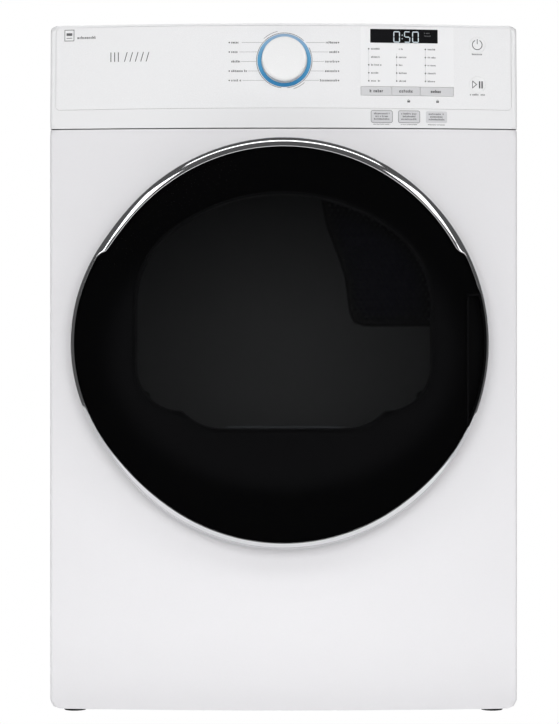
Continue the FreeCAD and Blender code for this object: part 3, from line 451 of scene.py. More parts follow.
SMOKED = Finish("smoked_window", (0.004, 0.004, 0.005), "display_black", roughness=0.12,
                scale=900, variation=0.2, bump=0.01, coat=0.4)
DIGIT = Finish("display_digit", (0.46, 0.52, 0.56), "display_black", roughness=0.4,
               scale=2500, variation=0.03, bump=0.01, emission=0.35)
BOARD = Finish("circuit_board", (0.02, 0.10, 0.045), "board", roughness=0.4,
               grain=Grain.SPECKLE, scale=500, variation=0.3, bump=0.08)
CHROME = Finish("door_chrome", (0.72, 0.72, 0.74), "trim_chrome", roughness=0.07, metallic=1.0,
                scale=300, variation=0.02, bump=0.004)
DOOR_BLACK = Finish("door_black_gloss", (0.0025, 0.0025, 0.0028), "door_black", roughness=0.28,
                    scale=1400, variation=0.12, bump=0.03, specular=0.12)
LINER = Finish("liner_satin", (0.034, 0.034, 0.037), "liner_grey", roughness=0.45,
               scale=1500, variation=0.05, bump=0.12)
COLLAR = Finish("collar_satin", (0.17, 0.17, 0.178), "collar_grey", roughness=0.45,
                scale=1500, variation=0.05, bump=0.12)
DUCTING = Finish("moulded_ducting", (0.07, 0.07, 0.075), "air_plastic", roughness=0.55,
                 scale=900, variation=0.08, bump=0.14)
GRILLE = Finish("grille_enamel", (0.09, 0.09, 0.095), "grille_paint", roughness=0.4,
                grain=Grain.ORANGE_PEEL, scale=700, variation=0.05, bump=0.06, wear=0.2)
FILTER = Finish("filter_satin", (0.34, 0.36, 0.39), "filter_plastic", roughness=0.42,
                scale=1400, variation=0.04, bump=0.08)
MESH = Finish("filter_weave", (0.48, 0.49, 0.50), "filter_mesh", roughness=0.7,
              grain=Grain.WOVEN, scale=260, variation=0.35, bump=0.4)
FELT = Finish("wool_felt", (0.16, 0.145, 0.125), "felt", roughness=0.95,
              grain=Grain.FELTED, scale=600, variation=0.25, bump=0.6)
RUBBER = Finish("matt_rubber", (0.018, 0.018, 0.018), "rubber", roughness=0.62,
                scale=1100, variation=0.15, bump=0.12)
SEAL = Finish("seal_rubber_soft", (0.04, 0.04, 0.042), "seal_rubber", roughness=0.6,
              scale=1300, variation=0.1, bump=0.1)
NYLON = Finish("nylon_ivory", (0.62, 0.60, 0.54), "wheel_plastic", roughness=0.45,
               scale=1200, variation=0.04, bump=0.08)
KNOB = Finish("knob_spun_white", (0.90, 0.90, 0.905), "knob_plastic", roughness=0.26,
              grain=Grain.SPUN, scale=1500, variation=0.012, bump=0.02, metallic=0.06)
OUTER_GLASS = TintedGlass("door_tinted_glass", (0.002, 0.002, 0.0022), "tinted_glass", 0.46, 0.05)
INNER_GLASS = TintedGlass("door_clear_glass", (0.05, 0.052, 0.052), "clear_glass", 0.06, 0.05)


# ---- mesh making ---------------------------------------------------------------------------
@dataclass
class MeshData:
    """Corners and faces that grow while a piece is being shaped."""

    corners: list[Vector] = field(default_factory=list)
    faces: list[Face] = field(default_factory=list)

    def add(self, corners: Iterable[Vector], faces: Iterable[Sequence[int]]) -> "MeshData":
        """Adds a closed shell.

        Args:
            corners: the shell's corners.
            faces: the shell's faces, counted from its own first corner.

        Returns:
            The same mesh, for chaining.
        """
        start = len(self.corners)
        self.corners.extend(corners)
        self.faces.extend(tuple(start + index for index in face) for face in faces)
        return self

    def join(self, other: "MeshData") -> None:
        """Adds another mesh's shells."""
        self.add(other.corners, other.faces)


def make_piece(name: str, data: MeshData, finish: Coat, body: str, stands_for: Sequence[str] = (),
               bevel: float = 0.0, merge: float = 0.0, sharp: float = 34.0) -> bpy.types.Object:
    """Turns mesh data into a dressed piece that rides on a body.

    Args:
        name: the piece's name.
        data: corners and faces, in metres in the machine's frame.
        finish: the finish to dress it in.
        body: the body that it moves with.
        stands_for: the nodes that it replaces.
        bevel: the width of the softened edges.
        merge: the distance within which corners are joined.
        sharp: edges that turn more than this many degrees stay crisp.

    Returns:
        The new object.
    """
    mesh = bpy.data.meshes.new(name)
    mesh.from_pydata(data.corners, [], data.faces)
    work = bmesh.new()
    work.from_mesh(mesh)
    if merge:
        bmesh.ops.remove_doubles(work, verts=work.verts, dist=merge)
    bmesh.ops.recalc_face_normals(work, faces=work.faces)
    work.to_mesh(mesh)
    work.free()
    mesh.shade_smooth()
    mesh.set_sharp_from_angle(angle=math.radians(sharp))
    piece = bpy.data.objects.new(name, mesh)
    bpy.context.scene.collection.objects.link(piece)
    if bevel:
        soften(piece, bevel)
    mesh.materials.append(finish.material())
    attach(piece, body)
    if stands_for:
        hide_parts(*stands_for)
    log.info("made %s: %d faces on %s", name, len(mesh.polygons), body)
    return piece


def soften(piece: bpy.types.Object, width: float, segments: int = 2) -> None:
    """Rounds a piece's sharp edges.

    Args:
        piece: the piece.
        width: the width of the rounding.
        segments: the number of facets across it.
    """
    round_off = piece.modifiers.new("soft edges", "BEVEL")
    round_off.width = width
    round_off.segments = segments
    round_off.limit_method = "ANGLE"
    round_off.angle_limit = math.radians(40)
    round_off.harden_normals = False


def dress(node: str, finish: Finish, bevel: float = 0.0) -> None:
    """Gives a carried-over node its finish, and softens its edges.

    Args:
        node: the node's name.
        finish: the finish.
        bevel: the width of its softened edges.
    """
    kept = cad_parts[node]
    kept.data.materials.clear()
    kept.data.materials.append(finish.material())
    kept.data.shade_smooth()
    kept.data.set_sharp_from_angle(angle=math.radians(34))
    if bevel:
        soften(kept, bevel, segments=1)
    log.info("dressed %s in %s", node, finish.name)


def inside(spot: Pair, outline: Outline) -> bool:
    """Tells whether a spot is inside a closed outline.

    Args:
        spot: the spot.
        outline: the outline's corners.

    Returns:
        True where it is inside.
    """
    x, z = spot
    found = False
    for (xa, za), (xb, zb) in zip(outline, [*outline[1:], outline[0]]):
        if (za > z) != (zb > z) and x < (xb - xa) * (z - za) / (zb - za) + xa:
            found = not found
    return found


def triangles(outer: Outline, holes: Sequence[Outline], spacing: float,
              extra: Outline = (),
              hole_test: Optional[HoleTest] = None) -> tuple[list[Pair], list[Face]]:
    """Fills an outline with even triangles, leaving its holes open.

    Args:
        outer: the outside outline.
        holes: the outlines of its holes.
        spacing: the distance between inner points.
        extra: more inner points, where the surface turns sharply.
        hole_test: a quicker test that says whether a spot lies in a hole.

    Returns:
        The flat points and the triangles.
    """
    points: list[Pair] = []
    edges: list[tuple[int, int]] = []
    for loop in (outer, *holes):
        start, count = len(points), len(loop)
        points.extend(loop)
        edges.extend((start + i, start + (i + 1) % count) for i in range(count))
    in_hole = hole_test or (lambda spot: any(inside(spot, hole) for hole in holes))
    low_x, high_x = min(x for x, z in outer), max(x for x, z in outer)
    low_z, high_z = min(z for x, z in outer), max(z for x, z in outer)
    taken = {(x // spacing, z // spacing) for x, z in extra}
    for row in range(1, int((high_z - low_z) / spacing)):
        shift = 0.5 * (row % 2)
        for column in range(1, int((high_x - low_x) / spacing)):
            spot = (low_x + (column + shift) * spacing, low_z + row * spacing)
            free = (spot[0] // spacing, spot[1] // spacing) not in taken
            if free and inside(spot, outer) and not in_hole(spot):
                points.append(spot)
    points += [spot for spot in extra if inside(spot, outer) and not in_hole(spot)]
    flat, _, faces, _, _, _ = delaunay_2d_cdt([Vector(p) for p in points], edges, [], 0, 1e-7)
    kept = []
    for face in faces:
        middle = (sum(flat[i][0] for i in face) / 3, sum(flat[i][1] for i in face) / 3)
        if inside(middle, outer) and not in_hole(middle):
            kept.append(tuple(face))
    return [(p[0], p[1]) for p in flat], kept


def slab(outer: Outline, holes: Sequence[Outline], place: Place, back: float,
         front: float, spacing: float, extra: Outline = (),
         hole_test: Optional[HoleTest] = None) -> MeshData:
    """A closed plate with holes between two lifts of a surface.

    Args:
        outer: the outside outline.
        holes: its holes.
        place: carries a flat point and a lift to the surface.
        back: the lift of its back.
        front: the lift of its front.
        spacing: the distance between inner points.
        extra: more inner points.
        hole_test: a quicker test for the holes.

    Returns:
        The closed plate.
    """
    flat, faces = triangles(outer, holes, spacing, extra, hole_test)
    count = len(flat)
    corners = [place(x, z, front) for x, z in flat] + [place(x, z, back) for x, z in flat]
    all_faces: list[Face] = list(faces)
    all_faces += [tuple(count + i for i in reversed(face)) for face in faces]
    uses: dict[tuple[int, int], tuple[int, int]] = {}
    for face in faces:
        for a, b in zip(face, (*face[1:], face[0])):
            key = (min(a, b), max(a, b))
            if key in uses:
                uses[key] = (-1, -1)
            else:
                uses[key] = (a, b)
    all_faces += [(b, a, count + a, count + b) for a, b in uses.values() if a >= 0]
    used = sorted({i for face in all_faces for i in face})
    renumber = {old: new for new, old in enumerate(used)}
    return MeshData([corners[i] for i in used], [tuple(renumber[i] for i in f) for f in all_faces])


def outward(outline: Outline, index: int, closed: bool = True) -> Pair:
    """The unit direction out of an anticlockwise outline at one of its points.

    Args:
        outline: the points.
        index: which point.
        closed: whether the outline closes on itself.

    Returns:
        The direction.
    """
    last = len(outline) - 1
    before = outline[index - 1] if closed or index > 0 else outline[0]
    after = outline[(index + 1) % len(outline)] if closed or index < last else outline[last]
    dx, dz = after[0] - before[0], after[1] - before[1]
    length = math.hypot(dx, dz) or 1.0
    return dz / length, -dx / length


def grown(outline: Outline, offset: float) -> list[Pair]:
    """An outline moved outwards.

    Args:
        outline: the anticlockwise outline.
        offset: how far, or inwards where negative.

    Returns:
        The moved outline.
    """
    moved = []
    for index, (x, z) in enumerate(outline):
        nx, nz = outward(outline, index)
        moved.append((x + nx * offset, z + nz * offset))
    return moved


def swept(outline: Outline, section: Section, place: Place,
          closed: bool = True) -> MeshData:
    """Carries a closed section of (offset, lift) round an outline.

    Args:
        outline: the anticlockwise outline.
        section: gives the section at a point of the outline.
        place: carries a flat point and a lift to the surface.
        closed: whether the outline closes on itself.

    Returns:
        The closed tube.
    """
    corners: list[Vector] = []
    count = len(outline)
    for index, (x, z) in enumerate(outline):
        nx, nz = outward(outline, index, closed)
        corners += [place(x + nx * out, z + nz * out, lift) for out, lift in section(index)]
    size = len(section(0))
    faces: list[Face] = []
    for index in range(count if closed else count - 1):
        here, there = index * size, ((index + 1) % count) * size
        for step in range(size):
            along = (step + 1) % size
            faces.append((here + step, there + step, there + along, here + along))
    if not closed:
        faces.append(tuple(range(size)))
        faces.append(tuple(reversed(range((count - 1) * size, count * size))))
    return MeshData(corners, faces)


def lathe(profile: Outline, turn: Place,
          segments: int = 96) -> MeshData:
    """Turns a closed profile of (radius, height) about an axis.

    Args:
        profile: the profile; points on the axis have radius 0.
        turn: carries (x, y, height) about the axis to the machine's frame.
        segments: the number of steps round.

    Returns:
        The closed solid.
    """
    corners: list[Vector] = []
    rows: list[list[int]] = []
    for radius, height in profile:
        if radius <= 1e-9:
            rows.append([len(corners)] * segments)
            corners.append(turn(0.0, 0.0, height))
            continue
        rows.append(list(range(len(corners), len(corners) + segments)))
        for step in range(segments):
            angle = 2 * math.pi * step / segments
            corners.append(turn(radius * math.cos(angle), radius * math.sin(angle), height))
    faces = []
    for row, following in zip(rows, rows[1:] + rows[:1]):
        for step in range(segments):
            along = (step + 1) % segments
            face = [row[step], row[along], following[along], following[step]]
            face = [corner for i, corner in enumerate(face) if corner != face[i - 1]]
            if len(face) > 2:
                faces.append(tuple(face))
    return MeshData(corners, faces)


def smooth(share: float) -> float:
    """Eases a share in and out between 0 and 1."""
    share = max(0.0, min(1.0, share))
    return share * share * (3 - 2 * share)


def arc(cx: float, cz: float, radius: float, start: float, end: float, steps: int) -> list[Pair]:
    """Points along an arc.

    Args:
        cx: the centre's first coordinate.
        cz: its second.
        radius: the arc's radius.
        start: its first angle in degrees.
        end: its last angle.
        steps: the number of steps.

    Returns:
        The points, ends included.
    """
    angles = [math.radians(start + (end - start) * i / steps) for i in range(steps + 1)]
    return [(cx + radius * math.cos(a), cz + radius * math.sin(a)) for a in angles]


def rounded_box(x0: float, x1: float, z0: float, z1: float, radius: float, steps: int = 5) -> list[Pair]:
    """A rectangle with round corners, anticlockwise.

    Args:
        x0: its left side.
        x1: its right side.
        z0: its foot.
        z1: its top.
        radius: the corner radius.
        steps: facets in each corner.

    Returns:
        The outline.
    """
    r = radius
    return (arc(x1 - r, z0 + r, r, -90, 0, steps) + arc(x1 - r, z1 - r, r, 0, 90, steps)
            + arc(x0 + r, z1 - r, r, 90, 180, steps) + arc(x0 + r, z0 + r, r, 180, 270, steps))


def disc(cx: float, cz: float, radius: float, steps: int = 14) -> list[Pair]:
    """A round outline, anticlockwise."""
    return arc(cx, cz, radius, 0, 360 * (steps - 1) / steps, steps - 1)


def dense(outline: Outline, step: float) -> list[Pair]:
    """Splits an outline's long sides.

    Args:
        outline: the outline.
        step: the longest side to leave.

    Returns:
        The outline with more points.
    """
    result: list[Pair] = []
    for (xa, za), (xb, zb) in zip(outline, [*outline[1:], outline[0]]):
        parts = max(1, math.ceil(math.hypot(xb - xa, zb - za) / step))
        result += [(xa + (xb - xa) * i / parts, za + (zb - za) * i / parts) for i in range(parts)]
    return result


def steady(section: Outline) -> Section:
    """A section that is the same all the way round."""
    return lambda index: section


# ---- the shapes that the front shares ------------------------------------------------------
@dataclass(frozen=True)
class Front:
    """The cabinet's bowed front and the fascia that leans back above it, in metres."""

    half: float
    face_y: float
    corner_y: float
    bow: float = 0.022
    seam_z: float = 0.856
    lean: float = math.radians(4.0)
    fold: float = 0.005
    crown: float = 0.010
    top_z: float = 1.011

    @property
    def radius(self) -> float:
        """Radius of the bow in plan."""
        return (self.half ** 2 + self.bow ** 2) / (2 * self.bow)

    def y(self, x: float, lift: float = 0.0) -> float:
        """Depth of the bowed surface that stands a lift in front of the panel."""
        return self.face_y + self.radius - math.sqrt((self.radius + lift) ** 2 - x ** 2)

    def bowed(self, x: float, z: float, lift: float) -> Vector:
        """A point in front of the panel."""
        return Vector((x, self.y(x, lift), z))

    def wrapped(self, u: float, lift: float) -> Pair:
        """The plan of the front, carried round its folded side.

        Args:
            u: the distance from the middle, along the surface.
            lift: the distance in front of the surface.

        Returns:
            The point's x and y.
        """
        flat = self.half - self.fold
        side = 1.0 if u >= 0 else -1.0
        run = abs(u) - flat
        if run <= 0:
            return u, self.y(u, lift)
        edge_y = self.y(flat)
        turn = run / self.fold
        if turn <= math.pi / 2:
            return (side * (flat + (self.fold + lift) * math.sin(turn)),
                    edge_y + self.fold - (self.fold + lift) * math.cos(turn))
        return side * (self.half + lift), edge_y + self.fold + run - self.fold * math.pi / 2

    def wrap_end(self) -> float:
        """How far the surface runs from the middle to the rear of its folded side."""
        flat = self.half - self.fold
        return flat + self.fold * math.pi / 2 + self.corner_y - self.y(flat) - self.fold

    def fascia(self, u: float, v: float, lift: float) -> Vector:
        """A point on the fascia, which leans back and rolls over at its top.

        Args:
            u: the distance from the middle, along the surface.
            v: the height, along the surface.
            lift: the distance in front of the surface.

        Returns:
            The point.
        """
        x, y = self.wrapped(u, lift)
        low = self.top_z - self.crown
        run = v - low
        z, back = v, 0.0
        if run > 0:
            turn = min(run / self.crown, math.pi / 2)
            z = low + (self.crown + lift) * math.sin(turn)
            back = (self.crown + lift) * (1 - math.cos(turn)) + max(0.0, run - self.crown * math.pi / 2)
        x, z = rounded_corner(x, z, self.half, self.top_z, 0.009)
        rise = z - self.seam_z
        slide = rise * math.sin(self.lean) * max(0.0, min(1.0, (self.corner_y - y) / 0.02))
        return Vector((x, min(y + back + slide, self.corner_y), z))

    def console(self, x: float, z: float, lift: float) -> Vector:
        """A point of the console's own drawing, leaned back with it.

        Args:
            x: the distance across.
            z: the height up the drawing.
            lift: the distance in front of it.

        Returns:
            The point.
        """
        y = self.y(x, lift) - self.face_y
        rise = z - self.seam_z
        return Vector((x, self.face_y + y * math.cos(self.lean) + rise * math.sin(self.lean),
                       self.seam_z - y * math.sin(self.lean) + rise * math.cos(self.lean)))

    def turned(self, cx: float, cz: float) -> Place:
        """An axis that stands square on the leaning fascia.

        Args:
            cx: where it stands, across.
            cz: where it stands, up the console's drawing.

        Returns:
            A function that carries (x, z, lift) about the axis to the machine's frame.
        """
        def carry(x: float, z: float, lift: float) -> Vector:
            """Carries one point.

            Args:
                x: across from the axis.
                z: up from the axis.
                lift: in front of the console.

            Returns:
                The point in the machine's frame.
            """
            y, rise = -lift, cz + z - self.seam_z
            return Vector((cx + x, self.face_y + y * math.cos(self.lean) + rise * math.sin(self.lean),
                           self.seam_z - y * math.sin(self.lean) + rise * math.cos(self.lean)))
        return carry


def rounded_corner(x: float, z: float, corner_x: float, corner_z: float, radius: float) -> Pair:
    """Rounds the corner of a sheet that is seen from the front.

    Args:
        x: the point across.
        z: the point up.
        corner_x: the side of the square corner, on the right.
        corner_z: its height.
        radius: the radius to give it.

    Returns:
        The moved point.
    """
    side = 1.0 if x >= 0 else -1.0
    up = 1.0 if corner_z > 0.5 else -1.0
    across = (abs(x) - (corner_x - radius)) / radius
    along = up * (z - (corner_z - up * radius)) / radius
    if across <= 0 or along <= 0:
        return x, z
    shrink = max(across, along) / math.hypot(across, along)
    return (side * (corner_x - radius + across * shrink * radius),
            corner_z - up * radius + up * along * shrink * radius)


@dataclass(frozen=True)
class Window:
    """The door's window: an arched top, upright sides, shouldered corners and a flat sill."""

    half: float = 0.221
    spring_z: float = 0.597
    side_r: float = 0.140
    drop: float = 0.108
    top_r: float = 0.275
    sill_z: float = 0.411
    sill_half: float = 0.090
    foot_r: float = 0.0846
    shoulder_x: float = 0.151
    shoulder_z: float = 0.437
    corner_r: float = 0.070

    def outline(self, offset: float = 0.0, step: float = 0.006) -> list[Pair]:
        """The outline, anticlockwise from the middle of the sill.

        Args:
            offset: how far to grow it.
            step: the longest side.

        Returns:
            The outline.
        """
        lean = math.degrees(math.atan2(self.drop, self.half - self.side_r))
        turn = math.degrees(math.asin((self.shoulder_x - self.sill_half) / self.foot_r))
        right = [(self.sill_half, self.sill_z)]
        right += arc(self.sill_half, self.sill_z + self.foot_r, self.foot_r, -90, -90 + turn, 8)[1:]
        corner = (self.half - self.corner_r, self.shoulder_z + self.corner_r)
        right += arc(*corner, self.corner_r, -90, 0, 12)[1:]
        right += arc(self.half - self.side_r, self.spring_z, self.side_r, 0, lean, 16)
        right += arc(0, self.spring_z - self.drop, self.top_r, lean, 90, 16)[1:]
        left = [(-x, z) for x, z in reversed(right[:-1])]
        full = dense(right + left, step)
        return grown(full, offset) if offset else full


@dataclass(frozen=True)
class DoorShape:
    """The door's outline: a circle that widens over the hinge, with a finger notch."""

    centre_z: float = 0.542
    radius: float = 0.297
    bulge_shift: float = 0.057
    bulge_r: float = 0.251
    grip_z: float = 0.518
    grip_half: float = 0.094
    grip_x: float = 0.268
    steps: int = 288

    def reach(self, angle: float) -> float:
        """How far the outline lies from its centre.

        Args:
            angle: the direction, in radians from the right.

        Returns:
            The distance.
        """
        away = math.cos(angle - math.pi) * self.bulge_shift
        sideways = math.sin(angle - math.pi) * self.bulge_shift
        other = away + math.sqrt(self.bulge_r ** 2 - sideways ** 2)
        blend = 0.004
        return (self.radius + other + math.hypot(self.radius - other, blend)) / 2

    def outline(self, offset: float = 0.0) -> list[Pair]:
        """The outline, anticlockwise from the right.

        Args:
            offset: how far to grow it.

        Returns:
            The outline.
        """
        points = []
        for step in range(self.steps):
            angle = 2 * math.pi * step / self.steps
            reach = self.reach(angle) + offset
            points.append((reach * math.cos(angle), self.centre_z + reach * math.sin(angle)))
        return points

    def notched(self, offset: float, inset: float, half: float) -> list[Pair]:
        """The outline with its right side cut straight for the finger recess.

        Args:
            offset: how far to grow the outline.
            inset: how far inside the recess's inner wall the cut lies.
            half: half the cut's height.

        Returns:
            The outline.
        """
        limit = self.grip_x - inset
        round_part = self.outline(offset)
        kept = [(x, z) for x, z in round_part if not (x > limit and abs(z - self.grip_z) < half)]
        first = next(i for i, (x, z) in enumerate(kept) if z > self.grip_z and x > 0)
        kept = kept[first:] + kept[:first]
        low, high = self.grip_z - half, self.grip_z + half

        def corner(z: float) -> float:
            """The corner's radius at a height, small enough to stay inside the round part."""
            room = math.sqrt((self.radius + offset) ** 2 - (z - self.centre_z) ** 2) - limit
            return max(0.0004, min(0.012, 0.9 * room))

        a, b = corner(low), corner(high)
        foot = arc(limit + a, low + a, a, 270, 180, 4)
        head = arc(limit + b, high - b, b, 180, 90, 4)
        return kept + foot + head


def prism(outline: Outline, place: Place, back: float, front: float) -> MeshData:
    """A small closed prism between two lifts of a surface.

    Args:
        outline: its convex outline.
        place: carries a flat point and a lift to the surface.
        back: the lift of its back.
        front: the lift of its front.

    Returns:
        The prism.
    """
    count = len(outline)
    corners = [place(x, z, front) for x, z in outline] + [place(x, z, back) for x, z in outline]
    faces: list[Face] = [tuple(range(count)), tuple(reversed(range(count, 2 * count)))]
    faces += [((i + 1) % count, i, count + i, count + (i + 1) % count) for i in range(count)]
    return MeshData(corners, faces)


def bar(x0: float, x1: float, z0: float, z1: float) -> list[Pair]:
    """A plain rectangle, anticlockwise."""
    return [(x0, z0), (x1, z0), (x1, z1), (x0, z1)]


def ring_band(cx: float, cz: float, inner: float, outer: float, start: float, end: float,
              steps: int = 48) -> list[list[Pair]]:
    """An arc-shaped band, as short convex pieces that share their ends.

    Args:
        cx: the centre across.
        cz: the centre up.
        inner: the inner radius.
        outer: the outer radius.
        start: the first angle in degrees.
        end: the last angle.
        steps: the number of pieces.

    Returns:
        The pieces' outlines.
    """
    low, high = arc(cx, cz, inner, start, end, steps), arc(cx, cz, outer, start, end, steps)
    return [[low[i], high[i], high[i + 1], low[i + 1]] for i in range(steps)]


def band(cx: float, cz: float, inner: float, outer: float, start: float, end: float,
         place: Place, back: float, front: float, steps: int = 48) -> MeshData:
    """One closed arc-shaped band between two lifts of a surface.

    Args:
        cx: the centre across.
        cz: the centre up.
        inner: the inner radius.
        outer: the outer radius.
        start: the first angle in degrees.
        end: the last angle.
        place: carries a flat point and a lift to the surface.
        back: the lift of its back.
        front: the lift of its front.
        steps: the number of steps along it.

    Returns:
        The band.
    """
    middle = arc(cx, cz, (inner + outer) / 2, start, end, steps)
    half = (outer - inner) / 2
    section = [(half, back), (half, front), (-half, front), (-half, back)]
    return swept(middle, steady(section), place, closed=False)


# ---- the cabinet ---------------------------------------------------------------------------
@dataclass
class Cabinet:
    """The painted sheet-metal case, its feet and the parts that are bolted to it."""

    front: Front
    window: Window
    sheet: float = 0.0009
    floor_gap: float = 0.006
    corner_r: float = 0.015
    lid_r: float = 0.009
    lid_z: float = 0.990
    rear_y: float = 0.370
    front_y: float = -0.2995
    exhaust_z: float = 0.100
    exhaust_r: float = 0.0513
    louvre_columns: int = 7
    louvre_rows: int = 5

    def panel_place(self, u: float, v: float, lift: float) -> Vector:
        """Carries a point of the flat front panel to its bowed and folded place.

        Args:
            u: the distance from the middle, along the surface.
            v: the height.
            lift: the distance in front of the surface.

        Returns:
            The point.
        """
        x, y = self.front.wrapped(u, lift)
        x, z = rounded_corner(x, v, self.front.half, self.floor_gap, self.corner_r)
        return Vector((x, min(y, self.front.corner_y), z))

    def roll_points(self, low: float, high: float, step: float) -> list[Pair]:
        """Columns of points along the folds at the panel's two sides.

        Args:
            low: the lowest height.
            high: the greatest height.
            step: the distance between points.

        Returns:
            The points.
        """
        flat = self.front.half - self.front.fold
        quarter = self.front.fold * math.pi / 2
        rows = max(2, int((high - low) / step))
        points = []
        for share in (-1.0, 0.0, 0.2, 0.4, 0.6, 0.8, 1.0):
            u = flat + share * quarter
            for row in range(1, rows):
                z = low + (high - low) * row / rows
                points += [(u, z), (-u, z)]
        return points

    def build_front_panel(self) -> None:
        """Presses the front panel, with the opening that the door covers."""
        end = self.front.wrap_end()
        top = self.front.seam_z - 0.0008
        outer = dense([(-end, self.floor_gap), (end, self.floor_gap), (end, top), (-end, top)], 0.012)
        hole = self.window.outline(0.005)
        strike = rounded_box(0.249, 0.263, 0.506, 0.530, 0.003)
        corner = [(side * (end - 0.003 * i), self.floor_gap + 0.003 * j)
                  for side in (-1, 1) for i in range(1, 20) for j in range(1, 7)]
        rolls = self.roll_points(self.floor_gap, top, 0.012)
        data = slab(outer, [hole, strike], self.panel_place, -self.sheet, 0.0, 0.014,
                    extra=rolls + corner)
        make_piece("front_panel_skin", data, ENAMEL, "cabinet", ["front_panel"], sharp=50)

    def build_side(self, side: float, name: str, node: str) -> None:
        """Folds one side panel, rolled under at its foot.

        Args:
            side: 1 for the right side, -1 for the left.
            name: the piece's name.
            node: the node that it replaces.
        """
        half, low, r = self.front.half, self.floor_gap, self.corner_r
        section = [(half, self.lid_z - 0.0008)]
        section += arc(half - r, low + r, r, 0, -90, 8)
        section += [(half - r - 0.012, low), (half - r - 0.012, low + self.sheet)]
        section += arc(half - r, low + r, r - self.sheet, -90, 0, 8)
        section.append((half - self.sheet, self.lid_z - 0.0008))
        data = self.extruded([(side * x, z) for x, z in section], self.front_y, self.rear_y)
        make_piece(name, data, ENAMEL, "cabinet", [node], bevel=0.0004)

    def extruded(self, section: Outline, y0: float, y1: float) -> MeshData:
        """A section drawn from one depth to another.

        Args:
            section: the closed section of (x, z).
            y0: the front depth.
            y1: the rear depth.

        Returns:
            The closed solid.
        """
        count = len(section)
        corners = [Vector((x, y, z)) for y in (y0, y1) for x, z in section]
        faces: list[Face] = [tuple(range(count)), tuple(reversed(range(count, 2 * count)))]
        faces += [(i, (i + 1) % count, count + (i + 1) % count, count + i) for i in range(count)]
        return MeshData(corners, faces)

    def build_lid(self) -> None:
        """Folds the lid, with rolled edges at both sides and a flat plate closing the back."""
        half, top, r = self.front.half, self.front.top_z, self.lid_r
        outer = [(half, self.lid_z)] + arc(half - r, top - r, r, 0, 90, 8)
        outer += [(-x, z) for x, z in reversed(outer)]
        inner = [(half - self.sheet, self.lid_z)]
        inner += arc(half - r, top - r, r - self.sheet, 0, 90, 8)
        inner += [(-x, z) for x, z in reversed(inner)]
        data = self.extruded(outer + list(reversed(inner)), self.front_y, self.rear_y - self.sheet)
        skirt = self.extruded(outer, self.rear_y - self.sheet, self.rear_y)
        data.join(skirt)
        make_piece("lid", data, ENAMEL, "cabinet", ["top_panel"], merge=1e-6, bevel=0.0006)

    def rear_place(self, x: float, z: float, lift: float) -> Vector:
        """Carries a point to the rear panel, which has a pressed frame.

        Args:
            x: the distance across.
            z: the height.
            lift: the distance behind the sheet.

        Returns:
            The point.
        """
        inset = min(0.330 - abs(x), z - 0.016, 0.978 - z)
        press = 0.0030 * max(0.0, min(1.0, (inset - 0.030) / 0.006))
        return Vector((x, self.rear_y - 0.0031 + press + lift, z))

    def build_rear(self) -> None:
        """Presses the rear panel, with its vents and pipe hole."""
        half = self.front.half - 0.0016
        outer = dense(rounded_box(-half, half, self.floor_gap, self.lid_z - 0.001, 0.012), 0.02)
        pipe = disc(0.0, self.exhaust_z, self.exhaust_r + 0.0006, 48)
        wiring = rounded_box(-0.289, -0.231, 0.151, 0.219, 0.006)
        vents = []
        hoods = MeshData()
        for column in range(self.louvre_columns):
            for row in range(self.louvre_rows):
                x = 0.040 * (column - (self.louvre_columns - 1) / 2)
                z = 0.640 + 0.030 * row
                vents.append(bar(x - 0.015, x + 0.015, z, z + 0.005))
                hoods.join(self.louvre_hood(x, z))
        rim = [(x, z) for k in (0.0, 0.002, 0.004, 0.006, 0.008)
               for x, z in dense(rounded_box(-0.300 + k, 0.300 - k, 0.046 + k, 0.948 - k, 0.004), 0.02)]
        data = slab(outer, [pipe, wiring, *vents], self.rear_place, -self.sheet, 0.0, 0.03, extra=rim)
        data.join(hoods)
        make_piece("rear_panel_skin", data, ZINC, "cabinet", ["rear_panel"], sharp=50)

    def louvre_hood(self, x: float, z: float) -> MeshData:
        """A hood pressed outwards over one vent, open underneath.

        Args:
            x: the vent's middle.
            z: the vent's foot.

        Returns:
            The closed shell of the hood.
        """
        corners: list[Vector] = []
        spans, rings = 12, 5
        for thick in (0.0, 0.0007):
            for ring in range(rings + 1):
                rise = ring / rings * math.pi / 2
                for step in range(spans + 1):
                    angle = math.pi * step / spans
                    reach = math.cos(rise)
                    corners.append(Vector((
                        x + (0.0165 - thick) * math.cos(angle) * reach,
                        self.rear_y - 0.0006 + (0.0055 - thick) * math.sin(rise),
                        z + (0.0095 - thick) * math.sin(angle) * reach)))
        row, layer = spans + 1, (spans + 1) * (rings + 1)
        faces = []
        for ring in range(rings):
            for step in range(spans):
                a = ring * row + step
                faces.append((a, a + 1, a + row + 1, a + row))
                faces.append((layer + a + row, layer + a + row + 1, layer + a + 1, layer + a))
        faces += [(step + 1, step, layer + step, layer + step + 1) for step in range(spans)]
        for ring in range(rings):
            a, b = ring * row, ring * row + spans
            faces.append((a, a + row, layer + a + row, layer + a))
            faces.append((b + row, b, layer + b, layer + b + row))
        return MeshData(corners, faces)

